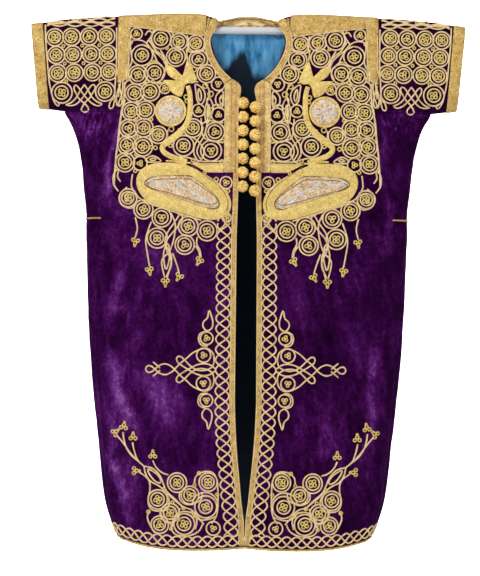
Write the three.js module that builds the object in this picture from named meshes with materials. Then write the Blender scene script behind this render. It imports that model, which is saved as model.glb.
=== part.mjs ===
// A short kaftan in velvet with gilt bands and appliques, hanging open at the front on a display bar.
// Millimetres, +Z up, front towards -Y, +X on the wearer's left. The origin is the bar's centre.
import * as THREE from 'three';

// ---------------------------------------------------------------- driving dimensions
const VELVET = 2;            // one wall of velvet on its backing
const LINING = 1;            // blue cotton lining
const BAND = 1.2;            // couched gilt band
const SEAM = 0.3;            // gap between neighbouring pieces
const BACK_BAND_LIFT = 1.1;  // the neck band stands off more over the gathered back neck
const FOLD_RADIUS = 13;      // cloth over the bar, front to back
const ARMHOLE = 243;         // half width at the armhole seams
const NECK = 57;             // half width of the neck on the shoulder fold
const CUFF = 405.5;          // half width at the cuffs, top edge
const CUFF_SLANT = 0.094;    // share by which the sleeve is shorter at its underarm
const UNDERARM = -155;       // height of the underarm seam
const WAIST = -358;          // height of the short waist seam on each gore
const HEM = -960;            // nominal height of the hem
const SECTION = 2.4;         // roundness of the body's plan, 2 is an ellipse
const BAR_RADIUS = 7;        // display bar, half its thickness
const BAR_END = 376;         // half the display bar's length
const BUTTON = 10.2;         // radius of a thread-covered ball button
const BUTTON_PITCH = 25.8;   // spacing of the buttons down each edge
const EDGE = 16.7;           // half width of the front opening beside the buttons

// The shoulder fold: height of the outer cloth, outward from the neck.
const shoulder = [
  { x: 57, z: 11 },
  { x: 66, z: 19.5 },
  { x: 75, z: 26 },
  { x: 86, z: 29 },
  { x: 105, z: 31 },
  { x: 150, z: 30 },
  { x: 200, z: 27.5 },
  { x: 250, z: 25 },
  { x: 300, z: 22.5 },
  { x: 350, z: 17.5 },
  { x: 403, z: 9 },
];

// The back neck edge: its height, and how far round the fold it starts, in degrees.
const backNeck = [
  { x: 0, z: 29, turn: 75 },
  { x: 20, z: 27, turn: 70 },
  { x: 38, z: 22.5, turn: 55 },
  { x: 50, z: 16.5, turn: 32 },
  { x: 57, z: 11, turn: 0 },
];

// Fullness of the upper garment: half depth two thirds of the way down, and the lower edge.
const upperFullness = [
  { x: 0, bulge: 33, bottom: -155 },
  { x: 150, bulge: 32, bottom: -155 },
  { x: 243, bulge: 26, bottom: -155 },
  { x: 300, bulge: 20, bottom: -155 },
  { x: 343, bulge: 18, bottom: -155 },
  { x: 365, bulge: 17, bottom: -153 },
  { x: 403, bulge: 17, bottom: -148 },
];

// The body below the underarm: half width and half depth of its plan.
const body = [
  { z: -155, width: 343, depth: 42 },
  { z: -166, width: 334, depth: 44 },
  { z: -188, width: 323, depth: 47 },
  { z: -218, width: 313.5, depth: 50 },
  { z: -260, width: 309, depth: 53 },
  { z: -300, width: 305, depth: 56 },
  { z: -358, width: 300.5, depth: 60 },
  { z: -420, width: 300, depth: 64 },
  { z: -520, width: 296, depth: 71 },
  { z: -620, width: 291, depth: 78 },
  { z: -720, width: 281.5, depth: 85 },
  { z: -820, width: 270, depth: 91 },
  { z: -890, width: 264, depth: 95 },
  { z: -930, width: 255, depth: 96 },
  { z: -960, width: 238, depth: 96 },
];

// The hem line, rising to the side seams.
const hemLine = [
  { x: 0, z: -956 },
  { x: 60, z: -961 },
  { x: 120, z: -962 },
  { x: 180, z: -957 },
  { x: 215, z: -950 },
  { x: 243, z: -941 },
];

// Front opening edge and side seam of a front panel.
const frontEdge = [
  { z: -5, x: 66.5 },
  { z: -17, x: 70 },
  { z: -30, x: 69.5 },
  { z: -46, x: 65 },
  { z: -58, x: 59 },
  { z: -70, x: 52 },
  { z: -80, x: 44 },
  { z: -88, x: 35.5 },
  { z: -94, x: 28 },
  { z: -99, x: 19.5 },
  { z: -104, x: 14 },
  { z: -112, x: 11.5 },
  { z: -120, x: 12.5 },
  { z: -129, x: 15 },
  { z: -145, x: 16.5 },
  { z: -305, x: 16.5 },
  { z: -390, x: 18.7 },
  { z: -700, x: 19.5 },
  { z: -760, x: 17 },
  { z: -797, x: 13.5 },
  { z: -835, x: 9.5 },
  { z: -870, x: 6.3 },
  { z: -893, x: 3 },
  { z: -907, x: 1.3 },
  { z: -960, x: 0.9 },
];
const sideSeam = [
  { z: -155, x: 243 },
  { z: -223, x: 250 },
  { z: -315, x: 258 },
  { z: -482, x: 266 },
  { z: -570, x: 270 },
  { z: -720, x: 261 },
  { z: -850, x: 249 },
  { z: -930, x: 236 },
  { z: -960, x: 220 },
];

// ---------------------------------------------------------------- small helpers
const smooth = (q) => {
  const c = Math.min(1, Math.max(0, q));
  return c * c * (3 - 2 * c);
};
const mix = (a, b, q) => a + (b - a) * q;

// Reads a named column of a table at a key, along a smooth curve through the rows.
function read(table, key, column, at) {
  const rising = table[table.length - 1][key] > table[0][key];
  const way = rising ? 1 : -1;
  if ((at - table[0][key]) * way <= 0) return table[0][column];
  const last = table.length - 1;
  if ((at - table[last][key]) * way >= 0) return table[last][column];
  let i = 0;
  while ((at - table[i + 1][key]) * way > 0) i += 1;
  const slope = (a, b) => (table[b][column] - table[a][column]) / (table[b][key] - table[a][key]);
  const span = table[i + 1][key] - table[i][key];
  const here = slope(i, i + 1);
  const limit = (m) => (m * here <= 0 ? 0 : Math.sign(here) * Math.min(Math.abs(m), 3 * Math.abs(here)));
  const m0 = i > 0 ? limit((slope(i - 1, i) + here) / 2) : here;
  const m1 = i + 2 <= last ? limit((slope(i + 1, i + 2) + here) / 2) : here;
  const q = (at - table[i][key]) / span;
  const a = table[i][column];
  const b = table[i + 1][column];
  const bend = (1 - q) * (1 - q) * (a * (1 + 2 * q) + span * m0 * q);
  return bend + q * q * (b * (3 - 2 * q) - span * m1 * (1 - q));
}

// ---------------------------------------------------------------- the garment's surface
// Plan of the body at a share v of the way from underarm to hem, at an angle from centre front.
function nominalHeight(v) {
  return mix(UNDERARM, HEM, v);
}

function ringPoint(v, angle) {
  const z = nominalHeight(v);
  const power = 2 / SECTION;
  const s = Math.sin(angle);
  const c = Math.cos(angle);
  const x = read(body, 'z', 'width', z) * Math.sign(s) * Math.abs(s) ** power;
  const y = -read(body, 'z', 'depth', z) * Math.sign(c) * Math.abs(c) ** power;
  const hem = read(hemLine, 'x', 'z', Math.abs(x));
  return new THREE.Vector3(x, y, mix(UNDERARM, hem, v));
}

function ringAngle(v, x) {
  const share = Math.min(0.99999, Math.abs(x) / read(body, 'z', 'width', nominalHeight(v)));
  return Math.sign(x) * Math.asin(share ** (SECTION / 2));
}

function underarmDepth(x) {
  const share = Math.min(1, Math.abs(x) / body[0].width);
  return Math.max(SEAM / 2, body[0].depth * (1 - share ** SECTION) ** (1 / SECTION));
}

// Soft upright folds over the lower fronts and back.
const FOLD_DEPTH = 2.5;
const FOLD_SPACING = 24;
const FOLDS_START = 1.3;
const FOLDS_END = 230;

// One point of the cloth. t runs down it: -1 shoulder fold, 0 below the fold, 1 underarm, 2 hem.
function truePoint(x, t, isBack) {
  const out = Math.abs(x);
  const front = isBack ? 1 : -1;
  if (t > 1) {
    const angle = ringAngle(t - 1, x);
    const point = ringPoint(t - 1, angle);
    const open = smooth((t - FOLDS_START) / 0.3) * smooth((FOLDS_END - out) / 60);
    point.y -= FOLD_DEPTH * Math.sin(out / FOLD_SPACING + 1) * open;
    point.y *= -front;
    return point;
  }
  const atBackNeck = isBack && out < NECK;
  const top = atBackNeck ? read(backNeck, 'x', 'z', out) : read(shoulder, 'x', 'z', out);
  const turn = atBackNeck ? THREE.MathUtils.degToRad(read(backNeck, 'x', 'turn', out)) : 0;
  const below = top - FOLD_RADIUS * Math.cos(turn);
  if (t <= 0) {
    const angle = mix(turn, Math.PI / 2, t + 1);
    const y = front * FOLD_RADIUS * Math.sin(angle);
    return new THREE.Vector3(x, y, below + FOLD_RADIUS * Math.cos(angle));
  }
  const bulge = read(upperFullness, 'x', 'bulge', out);
  const edge = underarmDepth(x);
  const q = Math.max(0, (t - 0.7) / 0.3);
  let depth = mix(FOLD_RADIUS, bulge, smooth(t / 0.7));
  if (q > 0) {
    const share = edge < bulge ? Math.sqrt(Math.max(0, 1 - q * q)) : 1 - q ** 1.5;
    depth = edge + (bulge - edge) * share;
  }
  return new THREE.Vector3(x, front * depth, mix(below, read(upperFullness, 'x', 'bottom', out), t));
}

// Rows of points down the front and back panels; what lies on a panel sits on these rows too.
const foldRows = [-1, -0.67, -0.33, 0];
const waistShare = (WAIST - UNDERARM) / (HEM - UNDERARM);
const lowerShares = [0.045, 0.1, 0.18, waistShare, 0.285, 0.36, 0.46, 0.57, 0.68, 0.78, 0.87, 0.945, 1];
const lowerRows = lowerShares.map((v) => 1 + v);
const frontUpper = [0.08, 0.17, 0.27, 0.37, 0.46, 0.553, 0.593, 0.627, 0.66, 0.713, 0.767, 0.827, 1];
const frontRows = [...foldRows, ...frontUpper, ...lowerRows];
const backUpper = [0.09, 0.2, 0.35, 0.52, 0.7, 0.85, 1];
const backRows = [...foldRows, ...backUpper, ...lowerRows];

// A point of the cloth on the straight lines between its panel's rows.
function clothPoint(x, t, isBack) {
  const rows = isBack ? backRows : frontRows;
  const i = Math.max(0, Math.min(rows.length - 2, rows.findIndex((r) => r > t) - 1));
  if (t >= 2) return truePoint(x, 2, isBack);
  const q = (t - rows[i]) / (rows[i + 1] - rows[i]);
  return truePoint(x, rows[i], isBack).lerp(truePoint(x, rows[i + 1], isBack), q);
}

function normalFrom(across, down, isBack) {
  const normal = new THREE.Vector3().crossVectors(across, down).normalize();
  return isBack ? normal : normal.negate();
}

// A point of the cloth with its outward normal.
function cloth(x, t, isBack) {
  const h = 0.5;
  const dt = t < 0 ? 0.02 : 0.004;
  const low = t > 1 ? Math.max(t - dt, 1.0001) : t - dt;
  const across = truePoint(x + h, t, isBack).sub(truePoint(x - h, t, isBack));
  const down = truePoint(x, Math.min(t + dt, t > 1 ? 9 : 1), isBack).sub(truePoint(x, low, isBack));
  return { p: clothPoint(x, t, isBack), n: normalFrom(across, down, isBack) };
}

// The t of a given height on the front or back.
function downTo(x, z, isBack) {
  const out = Math.abs(x);
  if (z < UNDERARM) return 1 + (z - UNDERARM) / (read(hemLine, 'x', 'z', out) - UNDERARM);
  const top = clothPoint(x, -1, isBack).z;
  const below = clothPoint(x, 0, isBack).z;
  if (z <= below) return (z - below) / (UNDERARM - below);
  return -1 + Math.acos(Math.min(1, 1 - (top - z) / FOLD_RADIUS)) / (Math.PI / 2);
}

const frontAt = (x, z) => cloth(x, downTo(x, z, false), false);

// ---------------------------------------------------------------- solids from grids of points
const group = new THREE.Group();

// A closed solid between two offsets of a grid. at(i, j) gives { p, n }; offsets may vary.
function sheet(name, rows, columns, at, inner, outer, material, round = false) {
  const index = new Map();
  const positions = [];
  const faces = [];
  const vertex = (v) => {
    const key = [v.x, v.y, v.z].map((c) => Math.round(c * 2000)).join();
    if (!index.has(key)) {
      index.set(key, positions.length / 3);
      positions.push(v.x, v.y, v.z);
    }
    return index.get(key);
  };
  const offset = (side, i, j) => (typeof side === 'function' ? side(i, j) : side);
  const skins = [inner, outer].map((side) =>
    Array.from({ length: rows + 1 }, (_, i) =>
      Array.from({ length: columns + 1 }, (__, j) => {
        const spot = at(i, round && j === columns ? 0 : j);
        return vertex(spot.p.clone().addScaledVector(spot.n, offset(side, i, j)));
      })));
  const triangle = (a, b, c) => {
    if (a !== b && b !== c && c !== a) faces.push(a, b, c);
  };
  const quad = (a, b, c, d) => {
    triangle(a, b, c);
    triangle(a, c, d);
  };
  const [low, high] = skins;
  for (let i = 0; i < rows; i += 1) {
    for (let j = 0; j < columns; j += 1) {
      quad(high[i][j], high[i][j + 1], high[i + 1][j + 1], high[i + 1][j]);
      quad(low[i][j], low[i + 1][j], low[i + 1][j + 1], low[i][j + 1]);
    }
    if (!round) {
      quad(high[i][0], high[i + 1][0], low[i + 1][0], low[i][0]);
      quad(high[i + 1][columns], high[i][columns], low[i][columns], low[i + 1][columns]);
    }
  }
  for (let j = 0; j < columns; j += 1) {
    quad(high[0][j + 1], high[0][j], low[0][j], low[0][j + 1]);
    quad(high[rows][j], high[rows][j + 1], low[rows][j + 1], low[rows][j]);
  }
  return finish(name, positions, faces, material);
}

// Makes the mesh with its faces outward.
function finish(name, positions, faces, material) {
  let volume = 0;
  const corner = (k) => new THREE.Vector3().fromArray(positions, 3 * faces[k]);
  for (let k = 0; k < faces.length; k += 3) {
    volume += corner(k).dot(corner(k + 1).cross(corner(k + 2)));
  }
  if (volume < 0) {
    for (let k = 0; k < faces.length; k += 3) {
      [faces[k], faces[k + 1]] = [faces[k + 1], faces[k]];
    }
  }
  const geometry = new THREE.BufferGeometry();
  geometry.setAttribute('position', new THREE.Float32BufferAttribute(positions, 3));
  geometry.setIndex(faces);
  geometry.computeVertexNormals();
  const mesh = new THREE.Mesh(geometry, material());
  mesh.name = name;
  group.add(mesh);
  return mesh;
}

const finishOf = (color, roughness, metalness) => () =>
  new THREE.MeshStandardMaterial({ color, roughness, metalness });
const velvet = finishOf(0x3d1168, 0.85, 0);
const gilt = finishOf(0xd6ae5c, 0.5, 0.35);
const brightGilt = finishOf(0xdcb84f, 0.5, 0.35);
const silverThread = finishOf(0xd9cfc0, 0.5, 0.3);
const blueLining = finishOf(0x4f93bd, 0.8, 0);
const goldSatin = finishOf(0xd8b768, 0.5, 0.1);
const paleMetal = finishOf(0xc9c4c3, 0.5, 0.4);

const sides = [{ word: 'right', sign: -1 }, { word: 'left', sign: 1 }];

// ---------------------------------------------------------------- velvet panels
// Inner and outer edge of a front panel at one t, between the neck or opening and the seam.
const neckTurn = [
  { t: -1, x: 57 },
  { t: -0.67, x: 59.5 },
  { t: -0.33, x: 63 },
  { t: 0, x: 66.5 },
];
function frontInner(t) {
  if (t <= 0) return read(neckTurn, 't', 'x', t);
  const z = t > 1 ? nominalHeight(t - 1) : mix(-5, UNDERARM, t);
  return read(frontEdge, 'z', 'x', z);
}

function seamAt(t) {
  return t > 1 ? read(sideSeam, 'z', 'x', nominalHeight(t - 1)) : ARMHOLE;
}

const frontColumns = [0, 0.05, 0.12, 0.21, 0.32, 0.44, 0.56, 0.68, 0.8, 0.9, 1];

function shoulderGap(spot, t, isBack) {
  if (t === -1) spot.p.y += (isBack ? 1 : -1) * SEAM / 2;
  return spot;
}

for (const { word, sign } of sides) {
  sheet(`front_panel_${word}`, frontRows.length - 1, frontColumns.length - 1, (i, j) => {
    const t = frontRows[i];
    const x = mix(frontInner(t), seamAt(t) - SEAM / 2, frontColumns[j]);
    return shoulderGap(cloth(sign * x, t, false), t, false);
  }, -VELVET, 0, velvet);
}

const halfBack = [0, 0.1, 0.19, NECK / ARMHOLE, 0.275, 0.34, 0.46, 0.62, 0.8, 1];
const backColumns = [...halfBack.slice(1).reverse().map((c) => -c), ...halfBack];

function backSpot(t, c) {
  return shoulderGap(cloth(c * (seamAt(t) - SEAM / 2), t, true), t, true);
}

sheet('back_panel', backRows.length - 1, backColumns.length - 1,
  (i, j) => backSpot(backRows[i], backColumns[j]), -VELVET, 0, velvet);

// ---------------------------------------------------------------- sleeves
const sleeveDown = [1, 0.96, 0.9, 0.8, 0.65, 0.4, 0.18, 0, -0.33, -0.67, -1];
const sleeveRound = [
  ...sleeveDown.map((t) => ({ t, isBack: false })),
  ...sleeveDown.slice(0, -1).reverse().map((t) => ({ t, isBack: true })),
];
const sleeveColumns = [0, 0.16, 0.31, 0.44, 0.54, 0.6, 0.635, 0.72, 0.8625, 1];

// c runs along the sleeve from armhole to cuff; the underarm is cut shorter than the top.
function sleevePoint(c, t, isBack) {
  const reach = mix(ARMHOLE + SEAM / 2, CUFF, c);
  const point = truePoint(reach, t, isBack);
  const top = truePoint(reach, -1, isBack).z;
  const share = (top - point.z) / (top - read(upperFullness, 'x', 'bottom', reach));
  point.x = mix(ARMHOLE + SEAM / 2, reach, 1 - CUFF_SLANT * share);
  if (t === 1) {
    point.z += SEAM / 2;
    if (Math.abs(point.y) < 1) point.y = Math.sign(point.y) * SEAM / 2;
  }
  return point;
}

function sleeveSpot(sign, c, { t, isBack }) {
  const mirror = (point) => point.multiply(new THREE.Vector3(sign, 1, 1));
  const p = sleevePoint(c, t, isBack);
  const nearer = sleevePoint(Math.max(0, c - 0.01), t, isBack);
  const across = sleevePoint(Math.min(1, c + 0.01), t, isBack).sub(nearer);
  const step = t < 0 ? 0.02 : 0.01;
  const down = sleevePoint(c, Math.min(1, t + step), isBack).sub(sleevePoint(c, t - step, isBack));
  if (t === 1 && c > 0.62) down.set(0, isBack ? -1 : 1, 0);
  if (t === -1) down.set(0, isBack ? 1 : -1, 0);
  const n = normalFrom(across, down, isBack);
  return { p: mirror(p), n: mirror(n) };
}

for (const { word, sign } of sides) {
  sheet(`sleeve_${word}`, sleeveRound.length - 1, sleeveColumns.length - 1,
    (i, j) => sleeveSpot(sign, sleeveColumns[j], sleeveRound[i]), -VELVET, 0, velvet);
}

// ---------------------------------------------------------------- side gores, folded below the waist
const GORE_FOLDS = 5;
const GORE_FOLD_DEPTH = 8;
const goreRows = [0, ...lowerShares];
const GORE_COLUMNS = 20;

function gorePoint(v, c) {
  const seam = ringAngle(v, read(sideSeam, 'z', 'x', nominalHeight(v)) + SEAM / 2);
  const point = ringPoint(v, mix(seam, Math.PI - seam, c));
  const open = smooth((v - waistShare) / 0.15) * mix(1, 0.55, smooth((v - 0.75) / 0.25));
  const pinch = Math.exp(-(((v - waistShare) / 0.02) ** 2)) * 2;
  const uneven = 1 + 0.3 * Math.sin(7 * c + 5 * v);
  const valley = (1 + Math.cos(2 * Math.PI * GORE_FOLDS * c)) / 2;
  const depth = Math.sin(Math.PI * c) ** 2 * (GORE_FOLD_DEPTH * open * uneven * valley + pinch);
  const width = Math.hypot(point.x, point.y * 3);
  point.x -= depth * point.x / width;
  point.y -= depth * 3 * point.y / width;
  if (v === 0) point.z -= 2 * SEAM;
  return point;
}

function goreSpot(sign, v, c) {
  const mirror = (point) => point.multiply(new THREE.Vector3(sign, 1, 1));
  const around = gorePoint(v, c + 0.004).sub(gorePoint(v, c - 0.004));
  const down = gorePoint(Math.min(1, v + 0.004), c).sub(gorePoint(Math.max(0.0001, v - 0.004), c));
  const n = new THREE.Vector3().crossVectors(around, down).normalize().negate();
  return { p: mirror(gorePoint(v, c)), n: mirror(n) };
}

for (const { word, sign } of sides) {
  sheet(`side_gore_${word}`, goreRows.length - 1, GORE_COLUMNS,
    (i, j) => goreSpot(sign, goreRows[i], j / GORE_COLUMNS), -VELVET, 0, velvet);
}

// ---------------------------------------------------------------- lining and back neck facing
const FACING_END = 0.09;
const liningRows = backRows.filter((t) => t > FACING_END).map((t) => (t === 2 ? 1.98 : t));
liningRows.unshift(FACING_END + 0.004);
const liningColumns = backColumns.filter((c) => Math.abs(c) < 0.95);
sheet('back_lining', liningRows.length - 1, liningColumns.length - 1,
  (i, j) => backSpot(liningRows[i], liningColumns[j]),
  -VELVET - 2 * SEAM - LINING, -VELVET - 2 * SEAM, blueLining);

const facingRows = [-0.95, -0.67, -0.33, 0, FACING_END];
const facingColumns = backColumns.filter((c) => Math.abs(c) < 0.21);
sheet('back_neck_facing', facingRows.length - 1, facingColumns.length - 1,
  (i, j) => backSpot(facingRows[i], facingColumns[j]),
  -VELVET - SEAM - LINING, -VELVET - SEAM, goldSatin);

// ---------------------------------------------------------------- bands
// A band between two edges, each a list of { x, t } or { x, z } spots on one front panel.
function frontBand(name, sign, columns, near, far, material) {
  const onCloth = (spot) => (spot.t === undefined ? downTo(spot.x, spot.z, false) : spot.t);
  sheet(name, near.length - 1, columns, (i, j) => {
    const q = j / columns;
    const x = mix(near[i].x, far[i].x, q);
    const t = mix(onCloth(near[i]), onCloth(far[i]), q);
    return cloth(sign * x, t, false);
  }, SEAM, SEAM + BAND, material);
}

// The neck band: its inner edge on the neck line and its outer edge, from the placket to centre back.
const neckFront = [
  { x: 30.6, z: -92.6, outX: 44.2, outZ: -103.6 },
  { x: 37, z: -87, outX: 48, outZ: -97 },
  { x: 44.5, z: -80, outX: 55, outZ: -88 },
  { x: 52.5, z: -70, outX: 63, outZ: -76.5 },
  { x: 59.5, z: -58, outX: 71, outZ: -63 },
  { x: 65.5, z: -46, outX: 77.3, outZ: -49 },
  { x: 70, z: -30, outX: 82, outZ: -31.5 },
  { x: 70.5, z: -17, outX: 82.5, outZ: -16.5 },
];
const neckFold = [
  { x: 67, t: 0, outX: 79, outT: 0 },
  { x: 63.5, t: -0.33, outX: 75.5, outT: -0.33 },
  { x: 60, t: -0.67, outX: 72, outT: -0.67 },
  { x: 57.5, t: -0.985, outX: 69.5, outT: -0.985 },
];
const neckBack = [
  { x: 57, t: -0.96, outX: 67, outT: -0.67 },
  { x: 51.5, t: -0.98, outX: 58, outT: -0.33 },
  { x: 46.2, t: -0.98, outX: 50, outT: -0.05 },
  { x: 24.3, t: -0.98, outX: 26, outT: 0.04 },
  { x: 0, t: -0.98, outX: 0, outT: 0.055 },
];
const neckHalf = [
  ...neckFront.map((r) => ({
    near: [r.x, downTo(r.x, r.z, false)],
    far: [r.outX, downTo(r.outX, r.outZ, false)],
    isBack: false,
    lift: SEAM,
  })),
  ...neckFold.map((r) => ({ near: [r.x, r.t], far: [r.outX, r.outT], isBack: false, lift: SEAM })),
  ...neckBack.map((r) => ({
    near: [r.x, r.t],
    far: [r.outX, r.outT],
    isBack: true,
    lift: BACK_BAND_LIFT,
  })),
];
const neckAround = [
  ...neckHalf.map((r) => ({ ...r, sign: -1 })),
  ...neckHalf.slice(0, -1).reverse().map((r) => ({ ...r, sign: 1 })),
];
const NECK_COLUMNS = 2;
sheet('neck_band', neckAround.length - 1, NECK_COLUMNS, (i, j) => {
  const r = neckAround[i];
  const q = j / NECK_COLUMNS;
  return cloth(r.sign * mix(r.near[0], r.far[0], q), mix(r.near[1], r.far[1], q), r.isBack);
}, (i) => neckAround[i].lift, (i) => neckAround[i].lift + BAND, gilt);

// The placket, from the lobe under the neck down to the chest band.
const PLACKET_EDGE = 43;
const PLACKET_END = -268;
const placket = [
  { z: -93.4, x: 29.8, outZ: -104 },
  { z: -99, x: 19.8, outZ: -107 },
  { z: -104, x: 14.3, outZ: -110 },
  { z: -112, x: 11.8, outZ: -114 },
  { z: -120, x: 12.8, outZ: -121 },
  { z: -129, x: 15.2, outZ: -129 },
  { z: -145, x: EDGE, outZ: -145 },
  { z: UNDERARM, x: EDGE, outZ: UNDERARM },
  { z: -191, x: EDGE, outZ: -191 },
  { z: -235.5, x: EDGE, outZ: -235.5 },
  { z: PLACKET_END, x: EDGE, outZ: PLACKET_END },
];
const EDGE_WIDTH = 9.5;
const edgeRows = [downTo(20, PLACKET_END - SEAM, false), ...lowerRows.slice(2, -1), 1.993];

// The chest band runs into the leaf's frame, so its end is cut on a slant.
const chestTop = [PLACKET_EDGE + SEAM, 57, 72, 88, 105];
const chestBottom = [PLACKET_EDGE + SEAM, 51, 59, 67, 75];
const CHEST_TOP = -251;
const CHEST_BOTTOM = -268.5;

// The shoulder band, by its lower edge along the shoulder and the rows of cloth it covers.
const shoulderRows = [
  { x: 82.9, low: -14 },
  { x: 96, low: -12 },
  { x: 116.5, low: -9.5 },
  { x: 139, low: -7 },
  { x: 161, low: -4 },
  { x: 183.5, low: -1 },
  { x: 206, low: 2 },
  { x: 219.6, low: 3 },
];
const shoulderAcross = [
  { t: -0.7, isBack: true },
  { t: -0.85, isBack: true },
  { t: -1, isBack: false },
  { t: -0.67, isBack: false },
  { t: -0.33, isBack: false },
  { t: 0, isBack: false },
];

// The armhole band keeps its width down the armhole and ends in a blunt point.
const ARMHOLE_BAND = 22;
const armholeRows = [
  ...[-1, -0.67, -0.33, 0, 0.17, 0.35, 0.5].map((t) => ({ t, wide: ARMHOLE_BAND })),
  { t: 0.6, wide: 20 },
  { t: 0.655, wide: 13 },
  { t: 0.68, wide: 6 },
];

// The cuff band, by its share of the sleeve's length.
const cuffColumns = [0.8625, 1];

for (const { word, sign } of sides) {
  frontBand(`placket_band_${word}`, sign, 3,
    placket.map((r) => ({ x: r.x, z: r.z })),
    placket.map((r) => ({ x: PLACKET_EDGE, z: r.outZ })), gilt);
  frontBand(`front_edge_band_${word}`, sign, 1,
    edgeRows.map((t) => ({ x: frontInner(t) + 0.2, t })),
    edgeRows.map((t) => ({ x: frontInner(t) + EDGE_WIDTH, t })), gilt);
  frontBand(`chest_band_${word}`, sign, 1,
    chestTop.map((x) => ({ x, z: CHEST_TOP })),
    chestBottom.map((x) => ({ x, z: CHEST_BOTTOM })), gilt);
  frontBand(`armhole_band_${word}`, sign, 1,
    armholeRows.map((r) => ({ x: ARMHOLE - 1, t: r.t })),
    armholeRows.map((r) => ({ x: ARMHOLE - 1 - r.wide, t: r.t })), gilt);

  sheet(`shoulder_band_${word}`, shoulderRows.length - 1, shoulderAcross.length, (i, j) => {
    const r = shoulderRows[i];
    const last = j === shoulderAcross.length;
    const spot = last ? { t: downTo(r.x, r.low, false), isBack: false } : shoulderAcross[j];
    return cloth(sign * r.x, spot.t, spot.isBack);
  }, SEAM, SEAM + BAND, gilt);

  sheet(`cuff_band_${word}`, sleeveRound.length - 1, cuffColumns.length - 1,
    (i, j) => sleeveSpot(sign, cuffColumns[j], sleeveRound[i]), SEAM, SEAM + BAND, gilt);
}

// ---------------------------------------------------------------- hem binding and waist cords
const BINDING = 4;
const WAIST_CORD = 1.6;
const CORD_LIFT = SEAM + WAIST_CORD + 0.4;
const bindingUp = (x, t) => t - BINDING / (UNDERARM - read(hemLine, 'x', 'z', Math.abs(x)));
for (const { word, sign } of sides) {
  const hemX = (c) => mix(frontInner(2), seamAt(2) - SEAM / 2, c);
  sheet(`hem_binding_front_${word}`, 1, frontColumns.length - 1, (i, j) => {
    const x = hemX(frontColumns[j]);
    return cloth(sign * x, i === 0 ? bindingUp(x, 2) : 2, false);
  }, 2 * SEAM, SEAM + BAND, gilt);
  sheet(`hem_binding_gore_${word}`, 1, GORE_COLUMNS, (i, j) => {
    const v = i === 0 ? 1 - BINDING / (UNDERARM - HEM) : 1;
    return goreSpot(sign, v, j / GORE_COLUMNS);
  }, SEAM, SEAM + BAND, gilt);

  const route = Array.from({ length: 11 }, (_, k) => {
    const spot = goreSpot(sign, waistShare, mix(0.06, 0.94, k / 10));
    return spot.p.addScaledVector(spot.n, CORD_LIFT);
  });
  const section = new THREE.Shape().absarc(0, 0, WAIST_CORD, 0, 2 * Math.PI);
  const path = new THREE.CatmullRomCurve3(route);
  const tube = new THREE.ExtrudeGeometry(section, { steps: 14, curveSegments: 3, extrudePath: path });
  const cord = new THREE.Mesh(tube, gilt());
  cord.name = `waist_cord_${word}`;
  group.add(cord);
}
sheet('hem_binding_back', 1, backColumns.length - 1, (i, j) => {
  const x = backColumns[j] * (seamAt(2) - SEAM / 2);
  return cloth(x, i === 0 ? bindingUp(x, 2) : 2, true);
}, 2 * SEAM, SEAM + BAND, gilt);

// ---------------------------------------------------------------- appliques on the fronts
// An outline through a few { x, z } corners, as a smooth closed curve.
function outlineOf(corners, count, tension = 0.5) {
  const points = corners.map((c) => new THREE.Vector3(c.x, 0, c.z));
  const curve = new THREE.CatmullRomCurve3(points, true, 'catmullrom', tension);
  return curve.getSpacedPoints(count).slice(0, count).map((p) => ({ x: p.x, z: p.z }));
}

// A padded piece filling an outline, crowned towards its middle.
function padded(name, sign, outline, centre, { edge, crown, lift = SEAM }, material) {
  const rings = [1, 0.9, 0.5, 0];
  sheet(name, rings.length - 1, outline.length, (i, j) => {
    const x = mix(centre.x, outline[j % outline.length].x, rings[i]);
    const z = mix(centre.z, outline[j % outline.length].z, rings[i]);
    return frontAt(sign * x, z);
  }, lift, (i) => lift + edge + crown * Math.sqrt(1 - rings[i] ** 2), material, true);
}

// A raised frame between an outer and an inner outline.
function raisedFrame(name, sign, outer, inner, { edge, crown }, material) {
  const steps = [0, 0.4, 1];
  sheet(name, steps.length - 1, outer.length, (i, j) => {
    const k = j % outer.length;
    const x = mix(outer[k].x, inner[k].x, steps[i]);
    const z = mix(outer[k].z, inner[k].z, steps[i]);
    return frontAt(sign * x, z);
  }, SEAM, (i) => SEAM + edge + (steps[i] > 0 && steps[i] < 1 ? crown : 0), material, true);
}

const circle = (centre, radius, count) =>
  Array.from({ length: count }, (_, k) => {
    const turn = (2 * Math.PI * k) / count;
    return { x: centre.x + radius * Math.cos(turn), z: centre.z + radius * Math.sin(turn) };
  });

const medallion = { x: 142.5, z: -154.5, radius: 29.6, disc: 24.8 };
const MEDALLION_POINTS = 20;

// The leaf under the chest, pointing up and outward: its padded frame and the panel inside it.
const leafCentre = { x: 116, z: -301 };
const leafOuter = [
  { x: 206, z: -288 },
  { x: 199, z: -265 },
  { x: 178, z: -253 },
  { x: 150, z: -250.5 },
  { x: 124, z: -251.5 },
  { x: 106, z: -257 },
  { x: 88, z: -266 },
  { x: 70, z: -276 },
  { x: 49, z: -290 },
  { x: 32.5, z: -310 },
  { x: 27.8, z: -330 },
  { x: 35, z: -348 },
  { x: 56, z: -356 },
  { x: 86, z: -354 },
  { x: 125, z: -342 },
  { x: 165, z: -331 },
  { x: 192, z: -316 },
];
const leafInner = [
  { x: 190, z: -289 },
  { x: 177, z: -278 },
  { x: 150, z: -275 },
  { x: 122, z: -275 },
  { x: 104, z: -275.5 },
  { x: 82, z: -291 },
  { x: 60, z: -310 },
  { x: 51, z: -323 },
  { x: 53, z: -333 },
  { x: 64, z: -336 },
  { x: 85, z: -330 },
  { x: 120, z: -318 },
  { x: 150, z: -308 },
  { x: 177, z: -299 },
];
const LEAF_POINTS = 28;

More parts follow.
